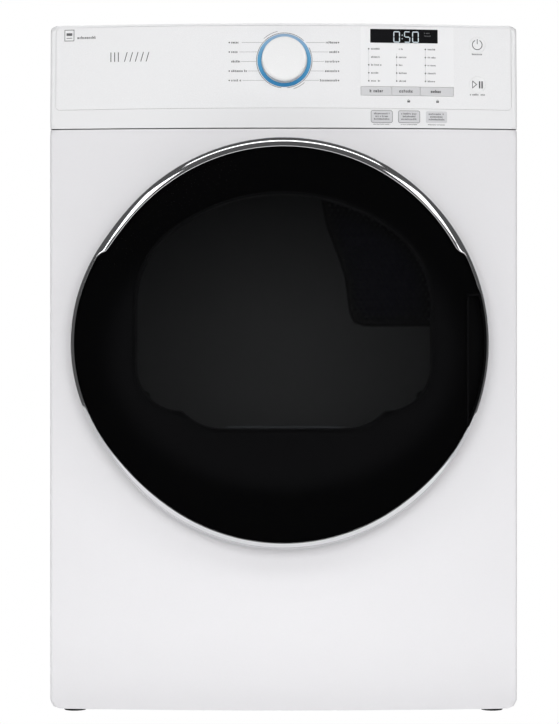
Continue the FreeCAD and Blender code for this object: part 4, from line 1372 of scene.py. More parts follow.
    def build_feet(self) -> None:
        """Turns the four levelling feet, each with its lock nut and threaded stud."""
        for place in ("front_left", "front_right", "rear_left", "rear_right"):
            low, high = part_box(f"{place}_foot")
            cx, cy = (low.x + high.x) / 2, (low.y + high.y) / 2
            profile = [(0, 0.0), (0.0155, 0.0), (0.0168, 0.0012), (0.0170, 0.0030), (0.0162, 0.0036),
                       (0.0162, 0.0044), (0.0168, 0.0050), (0.0160, 0.0082), (0.0145, 0.0092),
                       (0.0090, 0.0095), (0.0090, 0.0112), (0.0050, 0.0116)]
            threads = int((high.z - 0.0125) / 0.0015)
            for turn in range(threads):
                z = 0.0120 + 0.0015 * turn
                profile += [(0.0050, z), (0.0044, z + 0.00075)]
            profile += [(0.0044, high.z), (0, high.z)]
            data = lathe(profile, lambda x, y, h: Vector((cx + x, cy + y, h)), 36)
            make_piece(f"{place}_levelling_foot", data, RUBBER, f"{place}_leveller",
                       [f"{place}_foot"], merge=1e-7)

    def build(self) -> None:
        """Builds and dresses every piece of the case."""
        self.build_front_panel()
        for side, word in ((1.0, "right"), (-1.0, "left")):
            self.build_side(side, f"{word}_side", f"{word}_side_panel")
        self.build_lid()
        self.build_rear()
        self.build_feet()
        dress("base_pan", ZINC, 0.0006)
        dress("terminal_cover", ZINC, 0.0008)
        dress("exhaust_pipe", ZINC, 0.0004)
        dress("screws", STEEL, 0.0003)


# ---- the console ---------------------------------------------------------------------------
class Segment(Enum):
    """The seven bars of a lit digit."""

    TOP = "a"
    RIGHT_HIGH = "b"
    RIGHT_LOW = "c"
    FOOT = "d"
    LEFT_LOW = "e"
    LEFT_HIGH = "f"
    MIDDLE = "g"


LIT = {
    "0": "abcdef",
    "5": "acdfg",
}


@dataclass
class Console:
    """The leaning fascia with its film, display, keys, knob and printing."""

    front: Front
    knob_x: float = 0.001
    knob_z: float = 0.956
    knob_r: float = 0.0328
    ring_r: float = 0.0392
    rating_box: tuple[float, float, float, float] = (-0.3223, -0.3078, 0.9880, 1.0050)
    film_half: float = 0.3345
    film_low: float = 0.886
    film_high: float = 1.0075
    film_thick: float = 0.0011
    gap: float = 0.0004
    display: tuple[float, float, float, float] = (0.1268, 0.2261, 0.9828, 1.0033)
    strip: tuple[float, float, float, float] = (0.1128, 0.1584, 0.1998, 0.2494)
    strip_low: float = 0.905
    strip_high: float = 0.918
    bezel: Pair = (0.1128, 0.2494)
    round_x: float = 0.2845
    round_r: float = 0.012
    power_z: float = 0.982
    start_z: float = 0.923
    badge_low: float = 0.8652
    mark_foot: float = 0.9560
    ink: float = 0.00012
    seed: int = 27

    def __post_init__(self) -> None:
        """Prepares the shared draw of word shapes."""
        self.draw = random.Random(self.seed)
        self.dark = MeshData()
        self.pale = MeshData()

    def film_holes(self, gap: float) -> list[list[Pair]]:
        """The openings in the film for the keys, display and knob.

        Args:
            gap: how much wider than its part each one is.

        Returns:
            The outlines.
        """
        x0, x1, z0, z1 = self.display
        holes = [rounded_box(x0, x1, z0, z1, 0.0008, 2)]
        holes.append(rounded_box(self.strip[0] - gap, self.strip[-1] + gap, self.strip_low - gap,
                                 self.strip_high + gap, 0.001, 2))
        holes += [disc(self.round_x, z, self.round_r + gap / 3, 48) for z in (self.power_z, self.start_z)]
        holes.append(disc(self.knob_x, self.knob_z, 0.009, 24))
        return holes

    def film_outline(self, grow: float = 0.0) -> list[Pair]:
        """The film's outline.

        Args:
            grow: how far to grow it.

        Returns:
            The outline, split finely enough to follow the bow.
        """
        box_outline = rounded_box(-self.film_half - grow, self.film_half + grow,
                                  self.film_low - grow, self.film_high + grow, 0.0055 + grow, 6)
        return dense(box_outline, 0.012)

    def build_fascia(self) -> None:
        """Moulds the fascia, with a shallow bed for the film."""
        front = self.front
        end = front.wrap_end()
        low = front.seam_z + 0.0008
        top = front.top_z - front.crown + front.crown * math.pi / 2 + 0.030
        outer = dense([(-end, low), (end, low), (end, top), (-end, top)], 0.012)
        bed = [(x, front.console(x, z, 0.0).z) for x, z in self.film_outline(self.gap)]
        flat, quarter = front.half - front.fold, front.fold * math.pi / 2
        extra = [(side * (flat + share * quarter), low + (top - low) * row / 24)
                 for side in (-1, 1) for share in (-1.0, 0.0, 0.2, 0.4, 0.6, 0.8, 1.0)
                 for row in range(1, 24)]
        crown = front.top_z - front.crown
        extra += [(-end + 2 * end * column / 90, crown + share * front.crown * math.pi / 2)
                  for share in (0.0, 0.14, 0.28, 0.42, 0.56, 0.7, 0.85, 1.0)
                  for column in range(1, 90)]
        data = slab(outer, [bed], front.fascia, -0.0028, 0.0, 0.012, extra=extra)
        floor = slab(self.film_outline(0.004), [], front.console, -0.0036, -0.00285, 0.02)
        data.join(floor)
        rim = swept(self.film_outline(self.gap + 0.0002),
                    steady([(0.0, -0.0031), (0.0, -0.0006), (0.0012, -0.0006), (0.0012, -0.0031)]),
                    front.console)
        data.join(rim)
        make_piece("console_fascia", data, FASCIA, "cabinet", ["control_fascia"], sharp=50)

    def build_film(self) -> None:
        """Lays the film in its bed, with a paler plate round the display."""
        data = slab(self.film_outline(), self.film_holes(0.0003), self.front.console,
                    -self.film_thick - 0.0018, 0.0, 0.012)
        make_piece("console_film", data, OVERLAY, "cabinet", ["control_overlay"], sharp=50)
        x0, x1 = self.bezel
        plate = rounded_box(x0, x1, self.strip_high + 0.0004, self.film_high - 0.0006, 0.0012, 3)
        cut_out = rounded_box(*self.display, 0.0008, 2)
        plate_data = slab(dense(plate, 0.012), [cut_out], self.front.console, -0.0003, 0.00018, 0.012)
        make_piece("display_plate", plate_data, PALE_PANEL, "cabinet")

    def digit(self, x: float, z: float, width: float, height: float, figure: str) -> list[list[Pair]]:
        """The lit bars of one digit.

        Args:
            x: its left side.
            z: its foot.
            width: its width.
            height: its height.
            figure: the figure to show.

        Returns:
            The bars' outlines.
        """
        t, half = width * 0.15, height / 2
        gap = t * 0.25
        spans = {
            Segment.TOP: (x + t * 0.5, x + width - t * 0.5, z + height - t, z + height),
            Segment.FOOT: (x + t * 0.5, x + width - t * 0.5, z, z + t),
            Segment.MIDDLE: (x + t, x + width - t, z + half - t / 2, z + half + t / 2),
            Segment.RIGHT_HIGH: (x + width - t, x + width, z + half + gap, z + height - t * 0.7),
            Segment.RIGHT_LOW: (x + width - t, x + width, z + t * 0.7, z + half - gap),
            Segment.LEFT_HIGH: (x, x + t, z + half + gap, z + height - t * 0.7),
            Segment.LEFT_LOW: (x, x + t, z + t * 0.7, z + half - gap),
        }
        return [self.chamfered(*spans[part]) for part in Segment if part.value in LIT[figure]]

    def chamfered(self, x0: float, x1: float, z0: float, z1: float) -> list[Pair]:
        """A bar with pointed ends along its longer side.

        Args:
            x0: its left side.
            x1: its right side.
            z0: its foot.
            z1: its top.

        Returns:
            The outline.
        """
        half = min(x1 - x0, z1 - z0) / 2
        if x1 - x0 > z1 - z0:
            middle = (z0 + z1) / 2
            return [(x0, middle), (x0 + half, z0), (x1 - half, z0), (x1, middle),
                    (x1 - half, z1), (x0 + half, z1)]
        middle = (x0 + x1) / 2
        return [(middle, z0), (x1, z0 + half), (x1, z1 - half), (middle, z1),
                (x0, z1 - half), (x0, z0 + half)]

    def build_display(self) -> None:
        """Sets the smoked window and its lit time."""
        x0, x1, z0, z1 = self.display
        grow = 0.0001
        window = dense(rounded_box(x0 + grow, x1 - grow, z0 + grow, z1 - grow, 0.0008, 2), 0.008)
        data = slab(window, [], self.front.console, -0.0024, 0.0001, 0.01)
        make_piece("display_lens", data, SMOKED, "cabinet", ["display_window"])
        lit = MeshData()
        foot, height = 0.9834, 0.0167
        outlines = self.digit(0.1608, foot, 0.0098, height, "0")
        outlines += self.digit(0.1766, foot, 0.0090, height, "5")
        outlines += self.digit(0.1884, foot, 0.0098, height, "0")
        outlines += [disc(0.1738, foot + height * share, 0.00075, 10) for share in (0.34, 0.66)]
        self.stamp(lit, outlines, 0.0001, 0.0003)
        make_piece("display_digits", lit, DIGIT, "cabinet")
        small = MeshData()
        for z, length in ((0.9968, 0.0085), (0.9927, 0.0100)):
            self.stamp(small, self.word(0.2062, z, length, 0.0021), 0.0001, 0.00025)
        make_piece("display_marks", small, PALE_INK, "cabinet")

    def word(self, x: float, z: float, length: float, height: float) -> list[list[Pair]]:
        """A row of small letter-like strokes that stands for a label.

        Args:
            x: its left end.
            z: its foot.
            length: its length.
            height: the height of its tall strokes.

        Returns:
            The strokes' outlines.
        """
        strokes: list[list[Pair]] = []
        pen = x
        stem = height * 0.23
        while pen < x + length - stem:
            wide = height * self.draw.choice((0.42, 0.5, 0.58))
            tall = height * self.draw.choice((0.68, 0.68, 0.68, 1.0))
            if self.draw.random() < 0.11 and pen > x:
                pen += height * 0.5
                continue
            wide = min(wide, x + length - pen)
            strokes.append(bar(pen, pen + stem, z, z + tall))
            shape = self.draw.randrange(3)
            if shape != 1 and wide > 2 * stem:
                strokes.append(bar(pen + wide - stem, pen + wide, z, z + height * 0.68))
            if shape != 2:
                strokes.append(bar(pen, pen + wide, z, z + stem))
            strokes.append(bar(pen, pen + wide, z + height * 0.68 - stem, z + height * 0.68))
            pen += wide + height * 0.2
        return strokes

    def print_on(self, ink: MeshData, outlines: Iterable[Outline], base: float = 0.0) -> None:
        """Prints outlines on the film.

        Args:
            ink: the ink's mesh.
            outlines: what to print.
            base: the lift of the surface that takes the ink.
        """
        self.stamp(ink, outlines, base - 0.00005, base + self.ink)

    def stamp(self, mesh: MeshData, outlines: Iterable[Outline], back: float,
              front: float) -> None:
        """Adds small prisms between two lifts of the console.

        Args:
            mesh: the mesh that takes them.
            outlines: their outlines.
            back: the lift of their backs.
            front: the lift of their fronts.
        """
        for outline in outlines:
            mesh.join(prism(outline, self.front.console, back, front))

    def print_cycles(self) -> None:
        """Prints the ten cycle names, their dots and their leader lines round the knob."""
        rows = ((0.9826, 0.0135, 0.0166), (0.9686, 0.0100, 0.0115), (0.9545, 0.0128, 0.0174),
                (0.9404, 0.0228, 0.0180), (0.9265, 0.0146, 0.0252))
        for index, (z, left, right) in enumerate(rows):
            half_chord = math.sqrt(max(0.0, 0.0412 ** 2 - (z - self.knob_z) ** 2))
            x_left = self.knob_x - 0.0775
            x_right = self.knob_x + 0.0775
            if index != 2:
                self.print_on(self.dark, [disc(x_left - 0.0030, z, 0.00105, 12)])
            self.print_on(self.dark, [disc(x_right + 0.0018, z, 0.00105, 12)])
            self.print_on(self.pale, self.word(x_left, z - 0.0014, left, 0.0034))
            self.print_on(self.pale, self.word(x_right - right, z - 0.0014, right, 0.0034))
            line_left = (x_left + left + 0.0018, self.knob_x - half_chord - 0.0004)
            line_right = (self.knob_x + half_chord + 0.0004, x_right - right - 0.0018)
            for start, end in (line_left, line_right):
                if end > start:
                    self.print_on(self.pale, [bar(start, end, z - 0.00018, z + 0.00018)])

    def print_dial(self) -> None:
        """Prints the broken ring round the knob and its two direction marks."""
        for start, end in ((46, 264), (-84, 28)):
            shape = band(self.knob_x, self.knob_z, 0.0403, 0.0410, start, end, self.front.console,
                         -0.00005, self.ink, 60)
            self.dark.join(shape)
        for start, end, reach in ((103, 133, 0.0440), (-72, -48, 0.0440)):
            shape = band(self.knob_x, self.knob_z, reach - 0.0003, reach + 0.0003, start, end,
                         self.front.console, -0.00005, self.ink, 16)
            self.pale.join(shape)

    def print_levels(self) -> None:
        """Prints the three columns of level, heat and time marks under the display."""
        base = 0.00018
        columns = ((0.1246, (1, 0, 1, 1, 1), (0.0125, 0.0125, 0.0150, 0.0110, 0.0130)),
                   (0.1655, (0, 1, 1, 1, 1), (0.0060, 0.0110, 0.0050, 0.0120, 0.0105)),
                   (0.2078, (1, 1, 1, 1, 1), (0.0115, 0.0115, 0.0115, 0.0115, 0.0110)))
        heights = (0.9737, 0.9617, 0.9500, 0.9382, 0.9264)
        for x, dots, lengths in columns:
            for z, dot, length in zip(heights, dots, lengths):
                if dot:
                    self.print_on(self.dark, [disc(x, z, 0.0011, 12)], base)
                self.print_on(self.pale, self.word(x + 0.0034, z - 0.0011, length, 0.0026), base)
            first = heights[0] if dots[0] else heights[1] + 0.0060
            self.print_on(self.pale, [bar(x - 0.0001, x + 0.0001, heights[-1], first)], base)

    def print_marks(self) -> None:
        """Prints the generic maker's bar, the rating box, small icons and key labels."""
        foot = self.mark_foot
        self.print_on(self.dark, [bar(x, x + 0.0012, foot, foot + 0.0140)
                                  for x in (-0.2540, -0.2485, -0.2430)])
        self.print_on(self.dark, [self.slanted(x) for x in (-0.2340, -0.2260, -0.2180, -0.2100, -0.2020)])
        x0, x1, z0, z1 = self.rating_box
        t = 0.0009
        self.print_on(self.pale, [bar(x0, x1, z1 - t, z1), bar(x0, x1, z0, z0 + t),
                                  bar(x0, x0 + t, z0 + t, z1 - t), bar(x1 - t, x1, z0 + t, z1 - t),
                                  bar(x0 + 0.003, x1 - 0.003, z0 + 0.004, z0 + 0.0049),
                                  bar(x0 + 0.003, x1 - 0.003, z0 + 0.008, z0 + 0.012)])
        self.print_on(self.pale, self.word(x1 + 0.0047, z0 + 0.003, 0.0300, 0.0040))
        for x in (0.1830, 0.2255):
            self.print_on(self.pale, self.small_icon(x, 0.8968))
        self.print_on(self.pale, self.word(0.2765, 0.9667, 0.0155, 0.0028))
        self.print_on(self.pale, self.word(0.2735, 0.9068, 0.0230, 0.0028))

    def slanted(self, x: float) -> list[Pair]:
        """One slanted stroke of the generic maker's bar."""
        foot, top = self.mark_foot, self.mark_foot + 0.0140
        return [(x, foot), (x + 0.0012, foot), (x + 0.0052, top), (x + 0.0040, top)]

    def small_icon(self, x: float, z: float) -> list[list[Pair]]:
        """A small generic padlock-like icon.

        Args:
            x: its middle, across.
            z: its middle, up the console.

        Returns:
            Its outlines.
        """
        body = bar(x - 0.0020, x + 0.0020, z - 0.0018, z + 0.0008)
        bow = ring_band(x, z + 0.0008, 0.0011, 0.0016, 0, 180, 8)
        return [body, *bow]

    def build_print(self) -> None:
        """Prints everything and turns the two inks into pieces."""
        self.print_cycles()
        self.print_dial()
        self.print_levels()
        self.print_marks()
        make_piece("console_print_dark", self.dark, INK, "cabinet")
        make_piece("console_print_pale", self.pale, PALE_INK, "cabinet")

    def key_shape(self, outline: Outline, back: float, face: float, edge: float) -> MeshData:
        """A key cap with rounded edges.

        Args:
            outline: its outline.
            back: the lift of its back.
            face: the lift of its face.
            edge: the radius of its edges.

        Returns:
            The closed cap.
        """
        flat = [(x, z) for x, z in outline]
        rings = [(0.0, back), (0.0, face - edge), (-edge * 0.3, face - edge * 0.3), (-edge, face)]
        corners: list[Vector] = []
        for offset, lift in rings:
            corners += [self.front.console(x, z, lift) for x, z in grown(flat, offset)]
        count = len(flat)
        faces: list[Face] = [tuple(reversed(range(count)))]
        for ring in range(len(rings) - 1):
            for i in range(count):
                j = (i + 1) % count
                faces.append((ring * count + i, ring * count + j, (ring + 1) * count + j,
                              (ring + 1) * count + i))
        faces.append(tuple(range((len(rings) - 1) * count, len(rings) * count)))
        return MeshData(corners, faces)

    def build_keys(self) -> None:
        """Makes the three option keys and the two round keys with their symbols."""
        keys = ("level", "heat", "time")
        for index, key in enumerate(keys):
            left, right = self.strip[index] + 0.00025, self.strip[index + 1] - 0.00025
            outline = rounded_box(left, right, self.strip_low, self.strip_high, 0.0008, 3)
            data = self.key_shape(outline, -0.0018, 0.0004, 0.0004)
            make_piece(f"{key}_key_cap", data, KEY_GREY, f"{key}_button", [f"{key}_key"])
            label = MeshData()
            length = 0.0195 if key != "time" else 0.0180
            middle = (left + right) / 2
            strokes = self.word(middle - length / 2, self.strip_low + 0.0045, length, 0.0044)
            self.stamp(label, strokes, 0.0003, 0.0005)
            make_piece(f"{key}_key_label", label, INK, f"{key}_button")
        symbols = {"power": self.power_symbol(), "start": self.start_symbol()}
        for key, z in (("power", self.power_z), ("start", self.start_z)):
            data = self.key_shape(disc(self.round_x, z, self.round_r, 48), -0.0018, 0.0004, 0.0004)
            make_piece(f"{key}_key_cap", data, KEY_WHITE, f"{key}_button", [f"{key}_key"])
            mark = MeshData()
            self.stamp(mark, symbols[key], 0.0003, 0.0005)
            make_piece(f"{key}_key_symbol", mark, INK, f"{key}_button")

    def power_symbol(self) -> list[list[Pair]]:
        """A broken circle with an upright stroke.

        Returns:
            Its outlines.
        """
        x, z = self.round_x, self.power_z
        stroke = bar(x - 0.0005, x + 0.0005, z + 0.001, z + 0.0084)
        return [*ring_band(x, z, 0.0066, 0.0077, 118, 422, 40), stroke]

    def start_symbol(self) -> list[list[Pair]]:
        """An outlined triangle and a pair of bars.

        Returns:
            Its outlines.
        """
        x, z = self.round_x - 0.0078, self.start_z
        t, wide, half = 0.0009, 0.0072, 0.0056
        back = bar(x, x + t, z - half, z + half)
        upper = [(x + t, z + half), (x + t, z + half - 0.0014), (x + wide - 0.0016, z), (x + wide, z)]
        lower = [(x + t, z - half + 0.0014), (x + t, z - half), (x + wide, z), (x + wide - 0.0016, z)]
        bars = [bar(x + 0.0100 + k, x + 0.0120 + k, z - half, z + half - 0.0006) for k in (0.0, 0.0036)]
        return [back, list(reversed(upper)), list(reversed(lower)), *bars]

    def build_knob(self) -> None:
        """Turns the knob and its lit ring."""
        carry = self.front.turned(self.knob_x, self.knob_z)
        r = self.knob_r
        profile = [(0, 0.0165), (r * 0.55, 0.01655), (r * 0.86, 0.01635), (r - 0.0022, 0.0158),
                   (r - 0.0009, 0.0150), (r - 0.0002, 0.0138), (r, 0.0120), (r - 0.0004, 0.0040),
                   (r - 0.0010, 0.0012), (r - 0.0030, 0.0006), (0, 0.0006)]
        make_piece("dial_knob", lathe(profile, carry, 128), KNOB, "knob", ["program_knob"])
        low = self.front.console(self.knob_x, self.knob_z - self.ring_r, 0).z
        high = self.front.console(self.knob_x, self.knob_z + self.ring_r, 0).z
        glow = LightRing("lit_ring_plastic", "blue_light", low, high)
        inner = self.knob_r + 0.0008
        section = [(inner, 0.00005), (self.ring_r, 0.00005), (self.ring_r, 0.0010),
                   (self.ring_r - 0.0006, 0.0016), (inner + 0.0008, 0.0018), (inner, 0.0014)]
        make_piece("knob_glow_ring", lathe(section, carry, 128), glow, "cabinet", ["knob_light_ring"])

    def build_badges(self) -> None:
        """Sets the three plain badges under the film and the fine print below them."""
        fine = MeshData()
        for index, (x0, x1) in enumerate(((0.1281, 0.1588), (0.1682, 0.1989), (0.2082, 0.2393))):
            outline = rounded_box(x0, x1, self.badge_low, self.badge_low + 0.0171, 0.0022, 4)
            data = self.key_shape(outline, -0.0004, 0.0005, 0.0003)
            make_piece(f"badge_{index + 1}", data, BADGE, "cabinet")
            if index < 2:
                self.print_edge(fine, outline)
            for offset in (0.0118, 0.0078, 0.0038):
                length = (x1 - x0) * (0.74 if offset != 0.0078 else 0.6)
                start = (x0 + x1 - length) / 2
                self.stamp(fine, self.word(start, self.badge_low + offset, length, 0.0026), 0.0003, 0.0006)
            small = self.word(x0 + 0.003, self.badge_low - 0.0034, (x1 - x0) - 0.006, 0.0015)
            self.stamp(fine, small, -0.00005, 0.0001)
        make_piece("badge_print", fine, PALE_INK, "cabinet")

    def print_edge(self, ink: MeshData, outline: Outline) -> None:
        """Prints a thin darker line round a badge.

        Args:
            ink: the ink's mesh.
            outline: the badge's outline.
        """
        section = [(0.0006, -0.00005), (0.0006, 0.00035), (0.0, 0.00035), (0.0, -0.00005)]
        line = swept(outline, steady(section), self.front.console)
        ink.join(line)

    def build(self) -> None:
        """Builds and dresses the whole console."""
        self.build_fascia()
        self.build_film()
        self.build_display()
        self.build_keys()
        self.build_knob()
        self.build_badges()
        self.build_print()
        dress("control_board", BOARD, 0.0004)


# ---- the door ------------------------------------------------------------------------------
@dataclass
class Door:
    """The round door: chrome ring, tinted glass, black border, seal and finger recess."""

    front: Front
    window: Window
    shape: DoorShape
    glass_back: float = 0.0455
    glass_front: float = 0.0495
    lip_top: float = 0.0146
    lip_foot: float = 0.0102
    lip_grip: float = 0.0042
    lip_bulge: float = 0.0058
    bulge_high: float = 0.683
    bulge_low: float = 0.300
    long_fade: float = 0.110
    fade: float = 0.012

    def lip(self, x: float, z: float) -> float:
        """How wide the ring's lip is beside a point of the door's outline.

        Args:
            x: the point across.
            z: the point up.

        Returns:
            The width.
        """
        rise = (z - self.shape.centre_z) / self.shape.radius
        wide = (self.lip_top + self.lip_foot) / 2 + rise * (self.lip_top - self.lip_foot) / 2
        share = smooth(min((self.bulge_high - z) / self.fade, (z - self.bulge_low) / self.long_fade))
        wide += (self.lip_bulge - wide) * share
        if x < 0:
            return wide
        share = smooth((abs(z - self.shape.grip_z) - self.shape.grip_half) / self.fade)
        return self.lip_grip + (wide - self.lip_grip) * share

    def ring_section(self, outline: Outline) -> Section:
        """The ring's rounded section at each point of the outline.

        Args:
            outline: the door's outline.

        Returns:
            A function that gives the section.
        """
        crest = ((0.0, 44.0), (0.015, 47.0), (0.05, 49.2), (0.10, 50.4), (0.18, 51.3), (0.34, 52.5),
                 (0.52, 53.6), (0.70, 54.5), (0.82, 54.95), (0.90, 55.0), (0.96, 54.6), (1.0, 53.2))

        def section(index: int) -> Outline:
            """The section at one point of the outline.

            Args:
                index: which point.

            Returns:
                The closed section.
            """
            wide = self.lip(*outline[index])
            top = [(-wide * share, lift * MM) for share, lift in crest]
            wall = 2.5 * MM
            inner = [(-wide, 49.6 * MM), (-max(wall, wide * 0.6), 49.55 * MM), (-wall, 48.0 * MM),
                     (-wall, 12.6 * MM), (-wall + 0.0006, 12.0 * MM), (-0.0006, 12.0 * MM),
                     (0.0, 12.6 * MM)]
            return top + inner
        return section

    def build_ring(self) -> None:
        """Sweeps the chrome ring round the door."""
        outline = self.shape.outline()
        data = swept(outline, self.ring_section(outline), self.front.bowed)
        make_piece("door_chrome_ring", data, CHROME, "door", ["door_trim_ring"], sharp=60)

    def build_glass(self) -> None:
        """Cuts the tinted glass and the black border printed behind it, which carries a painted glow round
        the window.
        """
        half = self.shape.grip_half + 0.002
        outline = self.shape.notched(-0.005, 0.0035, half)
        data = slab(outline, [], self.front.bowed, self.glass_back, self.glass_front, 0.02)
        make_piece("door_glass", data, OUTER_GLASS, "door", ["door_outer_glass"], sharp=50)
        border = slab(self.shape.notched(-0.0062, 0.0045, half + 0.001), [self.window.outline(-0.003)],
                      self.front.bowed, self.glass_back - 0.0006, self.glass_back - 0.0001, 0.02)
        make_piece("door_glass_border", border, BorderPrintPaintedGlow(), "door")

    def build_inner_glass(self) -> None:
        """Lays the inner glass in its tunnel."""
        data = slab(self.window.outline(-0.0067), [], self.front.bowed, -0.012, -0.008, 0.02)
        make_piece("door_inner_pane", data, INNER_GLASS, "door", ["door_inner_glass"], sharp=50)

    def build_seal(self) -> None:
        """Sweeps the soft seal that meets the front panel."""
        outline = self.window.outline(0.011)
        section = [(-0.003, 0.00395), (0.003, 0.00395), (0.003, 0.0028), (0.0022, 0.0014),
                   (0.0008, 0.0005), (-0.0008, 0.0005), (-0.0022, 0.0014), (-0.003, 0.0028)]
        data = swept(outline, steady(section), self.front.bowed)
        make_piece("door_soft_seal", data, SEAL, "door", ["door_seal"])

    def build(self) -> None:
        """Builds and dresses the whole door."""
        self.build_ring()
        self.build_glass()
        self.build_inner_glass()
        self.build_seal()
        dress("door_frame", DOOR_BLACK, 0.0008)
        dress("door_liner", LINER, 0.0006)
        dress("door_strike", STEEL, 0.0004)
        dress("hinge_leaf", STEEL, 0.0005)
        dress("hinge_bracket", STEEL, 0.0005)
        dress("hinge_pin", STEEL, 0.0004)
        dress("door_catch", LINER, 0.0004)


# ---- the drum and what lies behind the door ------------------------------------------------
@dataclass
class DrumBay:
    """The drum, its lifters, the hot-air grille, the filter and the two bulkheads."""

    axis_z: float = 0.590
    radius: float = 0.318
    wall: float = 0.001
    front_y: float = -0.268
    back_y: float = 0.226
    lifters: int = 3
    lifter_y0: float = -0.225
    lifter_y1: float = 0.185
    lifter_tall: float = 0.062
    lifter_half: float = 0.034
    grille_rim: float = 0.285
    grille_back: float = 0.2318
    first_hole: Pair = (0.060, 0.579)
    hole_pitch: float = 0.0096
    hole_row: float = 0.0084
    hole_r: float = 0.0027
    hole_margin: float = 0.0085

    def build_shell(self) -> None:
        """Rolls the drum's shell, ribbed inwards, with its raised beads."""
        r = self.radius
        beads = (-0.228, 0.003, 0.030, 0.178)
        profile: list[Pair] = []
        steps = 240
        length = self.back_y - self.front_y
        for step in range(steps + 1):
            y = self.front_y + length * step / steps
            lift = 0.0
            for bead in beads:
                away = (y - bead - 0.0025) / 0.0042
                if abs(away) < 1:
                    lift = max(lift, 0.003 * (0.5 + 0.5 * math.cos(math.pi * away)))
            profile.append((r + lift, y))
        inner = []
        for step in range(steps + 1):
            y = self.front_y + length * step / steps
            share = min(1.0, min(y - self.front_y, self.back_y - y) / 0.03)
            rib = 0.0011 * share * max(0.0, math.cos(2 * math.pi * y / 0.032)) ** 2
            inner.append((r - self.wall - rib, y))
        profile += list(reversed(inner))
        data = lathe(profile, lambda x, z, y: Vector((x, y, self.axis_z + z)), 120)
        make_piece("drum_ribbed_shell", data, DRUM_COAT, "drum", ["drum_shell"])

    def build_lifters(self) -> None:
        """Moulds the three rounded lifters with tapered ends."""
        data = MeshData()
        across, along = 22, 40
        for number in range(self.lifters):
            turn = math.radians(60 + 120 * number)
            corners: list[Vector] = []
            for layer in (1.0, 0.0):
                for row in range(along + 1):
                    share = row / along
                    y = self.lifter_y0 + (self.lifter_y1 - self.lifter_y0) * share
                    ends = min(1.0, min(share, 1 - share) * 7.0)
                    ends = math.sin(ends * math.pi / 2) ** 0.7
                    for column in range(across + 1):
                        s = column / across * 2 - 1
                        x = s * self.lifter_half
                        base = math.sqrt((self.radius - self.wall - 0.0014) ** 2 - x * x)
                        hump = (math.cos(s * math.pi / 2)) ** 1.25 * ends
                        tall = layer * (0.0012 + (self.lifter_tall - 0.0025) * hump)
                        away = -(base - tall)
                        corners.append(Vector((x * math.cos(turn) + away * math.sin(turn), y,
                                               self.axis_z - x * math.sin(turn) + away * math.cos(turn))))
            row_size, layer_size = across + 1, (across + 1) * (along + 1)
            faces = []
            for row in range(along):
                for column in range(across):
                    a = row * row_size + column
                    faces.append((a, a + 1, a + row_size + 1, a + row_size))
                    b = layer_size + a
                    faces.append((b + row_size, b + row_size + 1, b + 1, b))
            for row in range(along):
                for a in (row * row_size, row * row_size + across):
                    faces.append((a, a + row_size, layer_size + a + row_size, layer_size + a))
            for column in range(across):
                for a in (column, along * row_size + column):
                    faces.append((a, a + 1, layer_size + a + 1, layer_size + a))
            data.add(corners, faces)
        make_piece("drum_lifter_set", data, LINER, "drum", ["drum_lifters"])

    def grille_outline(self) -> list[Pair]:
        """The grille's outline: round outside, a curved edge inside, a flat foot.

        Returns:
            The outline.
        """
        left = [(0.078, 0.864), (0.0655, 0.826), (0.065, 0.785), (0.0725, 0.748), (0.084, 0.716),
                (0.0955, 0.686), (0.104, 0.660), (0.1085, 0.628), (0.112, 0.600), (0.119, 0.582),
                (0.137, 0.575)]
        foot = math.degrees(math.asin((0.575 - self.axis_z) / self.grille_rim))
        rim = arc(0, self.axis_z, self.grille_rim, foot, 74.1, 40)
        return rim + left

    def grille_holes(self, outline: Outline) -> list[Pair]:
        """The middles of the grille's holes, in a honeycomb.

        Args:
            outline: the grille's outline.

        Returns:
            The middles.
        """
        spots = [self.hole_spot(column, row) for row in range(40) for column in range(28)]
        return [(x, z) for x, z in spots
                if all(inside(p, outline) for p in disc(x, z, self.hole_margin, 8))]

    def hole_spot(self, column: int, row: int) -> Pair:
        """The middle of one place in the honeycomb."""
        return (self.first_hole[0] + (column + 0.5 * (row % 2)) * self.hole_pitch,
                self.first_hole[1] + row * self.hole_row)

    def build_grille(self) -> None:
        """Punches the hot-air grille and rolls its rim."""
        outline = dense(self.grille_outline(), 0.008)
        spots = self.grille_holes(outline)
        known = {(round(x, 6), round(z, 6)) for x, z in spots}
        holes = [disc(x, z, self.hole_r, 8) for x, z in spots]

        def in_hole(spot: Pair) -> bool:
            """Tells whether a spot is inside one of the holes.

            Args:
                spot: the spot.

            Returns:
                True where it is inside the nearest hole of the honeycomb.
            """
            row = round((spot[1] - self.first_hole[1]) / self.hole_row)
            column = round((spot[0] - self.first_hole[0]) / self.hole_pitch - 0.5 * (row % 2))
            x, z = self.hole_spot(column, row)
            if math.hypot(spot[0] - x, spot[1] - z) > self.hole_r * 0.97:
                return False
            return (round(x, 6), round(z, 6)) in known

        data = slab(outline, holes, self.behind, 0.0, 0.0014, 0.03, hole_test=in_hole)
        rim_section = [(0.0, 0.0), (0.0, 0.0022), (-0.0008, 0.0030), (-0.0030, 0.0030),
                       (-0.0040, 0.0022), (-0.0042, 0.0012), (-0.0042, 0.0)]
        rim = swept(outline, steady(rim_section), self.behind)
        data.join(rim)
        make_piece("hot_air_grille", data, GRILLE, "cabinet", ["air_grille"], sharp=50)

    def behind(self, x: float, z: float, lift: float) -> Vector:
        """Carries a flat point to the drum's rear wall."""
        return Vector((x, self.grille_back - lift, z))

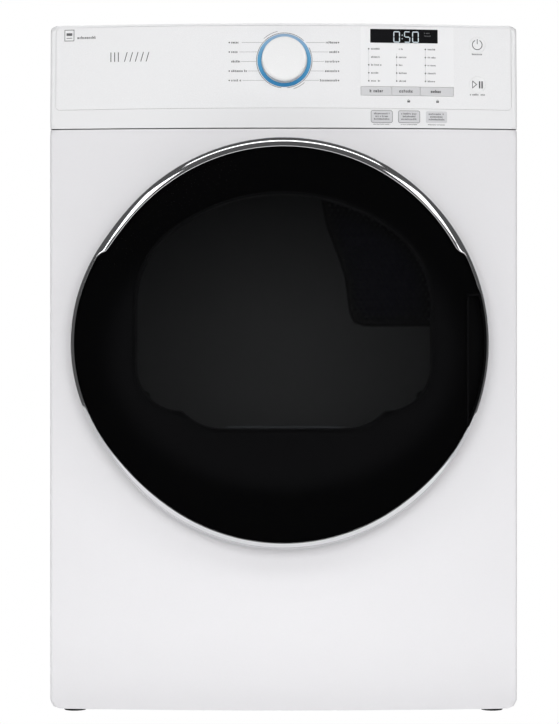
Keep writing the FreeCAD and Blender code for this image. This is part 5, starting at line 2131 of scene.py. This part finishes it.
    def build(self) -> None:
        """Builds and dresses the drum bay."""
        self.build_shell()
        self.build_lifters()
        self.build_grille()
        dress("door_collar", COLLAR, 0.0006)
        dress("front_bulkhead", BULKHEAD)
        dress("rear_bulkhead", BULKHEAD)
        dress("front_drum_seal", FELT)
        dress("rear_drum_seal", FELT)
        dress("lint_filter_frame", FILTER, 0.0005)
        dress("lint_filter_screen", MESH)
        dress("lint_duct", DUCTING, 0.0006)


@dataclass
class Works:
    """The drive, the fan and the heater, which the case hides."""

    finishes: tuple[tuple[str, Finish], ...] = (
        ("drum_belt", RUBBER), ("roller_axles", STEEL), ("left_roller", NYLON),
        ("right_roller", NYLON), ("motor_housing", MOTOR), ("motor_shaft", STEEL),
        ("blower_housing", DUCTING), ("blower_wheel", DUCTING), ("idler_arm", ZINC),
        ("idler_pulley", NYLON), ("idler_spring", STEEL), ("heater_housing", ZINC),
        ("heater_coil", STEEL), ("rear_air_duct", ZINC))

    def build(self) -> None:
        """Dresses every carried-over part of the works."""
        for node, finish in self.finishes:
            dress(node, finish)


# ---- floor, light and camera ---------------------------------------------------------------
@dataclass
class Studio:
    """A pale floor, soft light from both sides and above, and the camera."""

    eye: Triple = (-0.006, -3.87, 0.5147)
    lens: float = 120.1
    floor_half: float = 1.6
    backdrop: Colour = (1.0, 1.0, 1.0)
    ambient: float = 0.13

    def build_floor(self) -> None:
        """Lays a floor that bounces light, while the camera sees the backdrop through it."""
        mesh = bpy.data.meshes.new("studio_floor")
        h = self.floor_half
        steps = 16
        corners = [((i / steps * 2 - 1) * h, (j / steps * 2 - 1) * h, 0.0)
                   for j in range(steps + 1) for i in range(steps + 1)]
        row = steps + 1
        faces = [(j * row + i, j * row + i + 1, (j + 1) * row + i + 1, (j + 1) * row + i)
                 for j in range(steps) for i in range(steps)]
        mesh.from_pydata(corners, [], faces)
        floor = bpy.data.objects.new("studio_floor", mesh)
        bpy.context.scene.collection.objects.link(floor)
        paint = bpy.data.materials.new("studio_floor_paint")
        nodes = NodeTree(paint)
        mix = nodes.add("MixShader")
        matt = nodes.add("BsdfDiffuse", Color=(0.92, 0.92, 0.92, 1))
        nodes.link(nodes.add("LightPath").outputs["Is Camera Ray"], mix.inputs[0])
        for number, source in enumerate((matt, nodes.add("BsdfTransparent")), 1):
            nodes.link(source.outputs[0], mix.inputs[number])
        nodes.link(mix.outputs[0], nodes.add("OutputMaterial").inputs["Surface"])
        mesh.materials.append(paint)

    def softbox(self, name: str, spot: Triple, aim: Triple, size: Pair,
                power: float, mirrored: bool = True) -> None:
        """Hangs one soft light.

        Args:
            name: its name.
            spot: where it hangs.
            aim: what it faces.
            size: its width and height.
            power: its power in watts.
            mirrored: whether shiny surfaces mirror it.
        """
        lamp = bpy.data.lights.new(name, "AREA")
        lamp.shape = "RECTANGLE"
        lamp.size, lamp.size_y = size
        lamp.energy = power
        light = bpy.data.objects.new(name, lamp)
        light.location = spot
        light.visible_glossy = mirrored
        light.rotation_euler = (Vector(aim) - Vector(spot)).to_track_quat("-Z", "Y").to_euler()
        bpy.context.scene.collection.objects.link(light)

    def build_lights(self) -> None:
        """Hangs the softboxes and sets the backdrop."""
        target = (0.0, -0.35, 0.50)
        self.softbox("front_fill", (0.0, -4.6, 1.05), target, (2.6, 1.7), 99.0, mirrored=False)
        self.softbox("top_strip", (0.0, -2.3, 3.2), target, (3.4, 0.22), 7.0)
        self.softbox("upper_fill", (0.0, -3.0, 2.5), target, (3.0, 1.0), 15.0, mirrored=False)
        self.softbox("floor_bounce", (0.0, -1.05, 0.02), (0.0, -1.05, 1.0), (1.6, 1.2), 2.0)
        self.softbox("rear_softbox", (0.0, 2.6, 2.0), (0.0, 0.4, 0.5), (2.4, 1.6), 36.0)
        self.softbox("overhead_softbox", (0.0, 0.45, 3.0), (0.0, 0.45, 1.0), (1.6, 1.2), 11.0,
                     mirrored=False)
        for word, side in (("left", -1), ("right", 1)):
            self.softbox(f"{word}_softbox", (side * 2.02, -2.6, 2.18), target, (1.0, 1.0), 9.0)
            self.softbox(f"{word}_side_fill", (side * 2.9, 0.7, 1.1), (side * 0.343, 0.0, 0.5),
                         (2.2, 1.8), 20.0, mirrored=False)
        world = bpy.data.worlds.new("studio_backdrop")
        bpy.context.scene.world = world
        world.use_nodes = True
        tree = world.node_tree
        tree.nodes.clear()
        out, mix, path, around, seen = [tree.nodes.new("ShaderNode" + kind) for kind in (
            "OutputWorld", "MixShader", "LightPath", "Background", "Background")]
        around.inputs["Strength"].default_value = self.ambient
        seen.inputs["Color"].default_value = (*self.backdrop, 1)
        tree.links.new(path.outputs["Is Camera Ray"], mix.inputs[0])
        for number, source in enumerate((around, seen), 1):
            tree.links.new(source.outputs[0], mix.inputs[number])
        tree.links.new(mix.outputs[0], out.inputs["Surface"])

    def build_camera(self) -> None:
        """Sets the camera square to the machine, at half its height."""
        camera = bpy.data.cameras.new("studio_camera")
        camera.lens = self.lens
        holder = bpy.data.objects.new("studio_camera", camera)
        holder.location = self.eye
        holder.rotation_euler = (math.pi / 2, 0.0, 0.0)
        bpy.context.scene.collection.objects.link(holder)
        bpy.context.scene.camera = holder

    def build(self) -> None:
        """Sets up the whole studio."""
        self.build_floor()
        self.build_lights()
        self.build_camera()
        bpy.context.scene.view_settings.view_transform = "Standard"


def main() -> None:
    """Builds every sub-assembly in turn."""
    logging.basicConfig(level=logging.INFO, format="%(name)s: %(message)s")
    low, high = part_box("front_panel")
    front = Front(half=high.x, face_y=low.y, corner_y=high.y)
    window = Window()
    Cabinet(front, window).build()
    Console(front).build()
    Door(front, window, DoorShape()).build()
    DrumBay().build()
    Works().build()
    Studio().build()


if __name__ == "__main__":
    main()
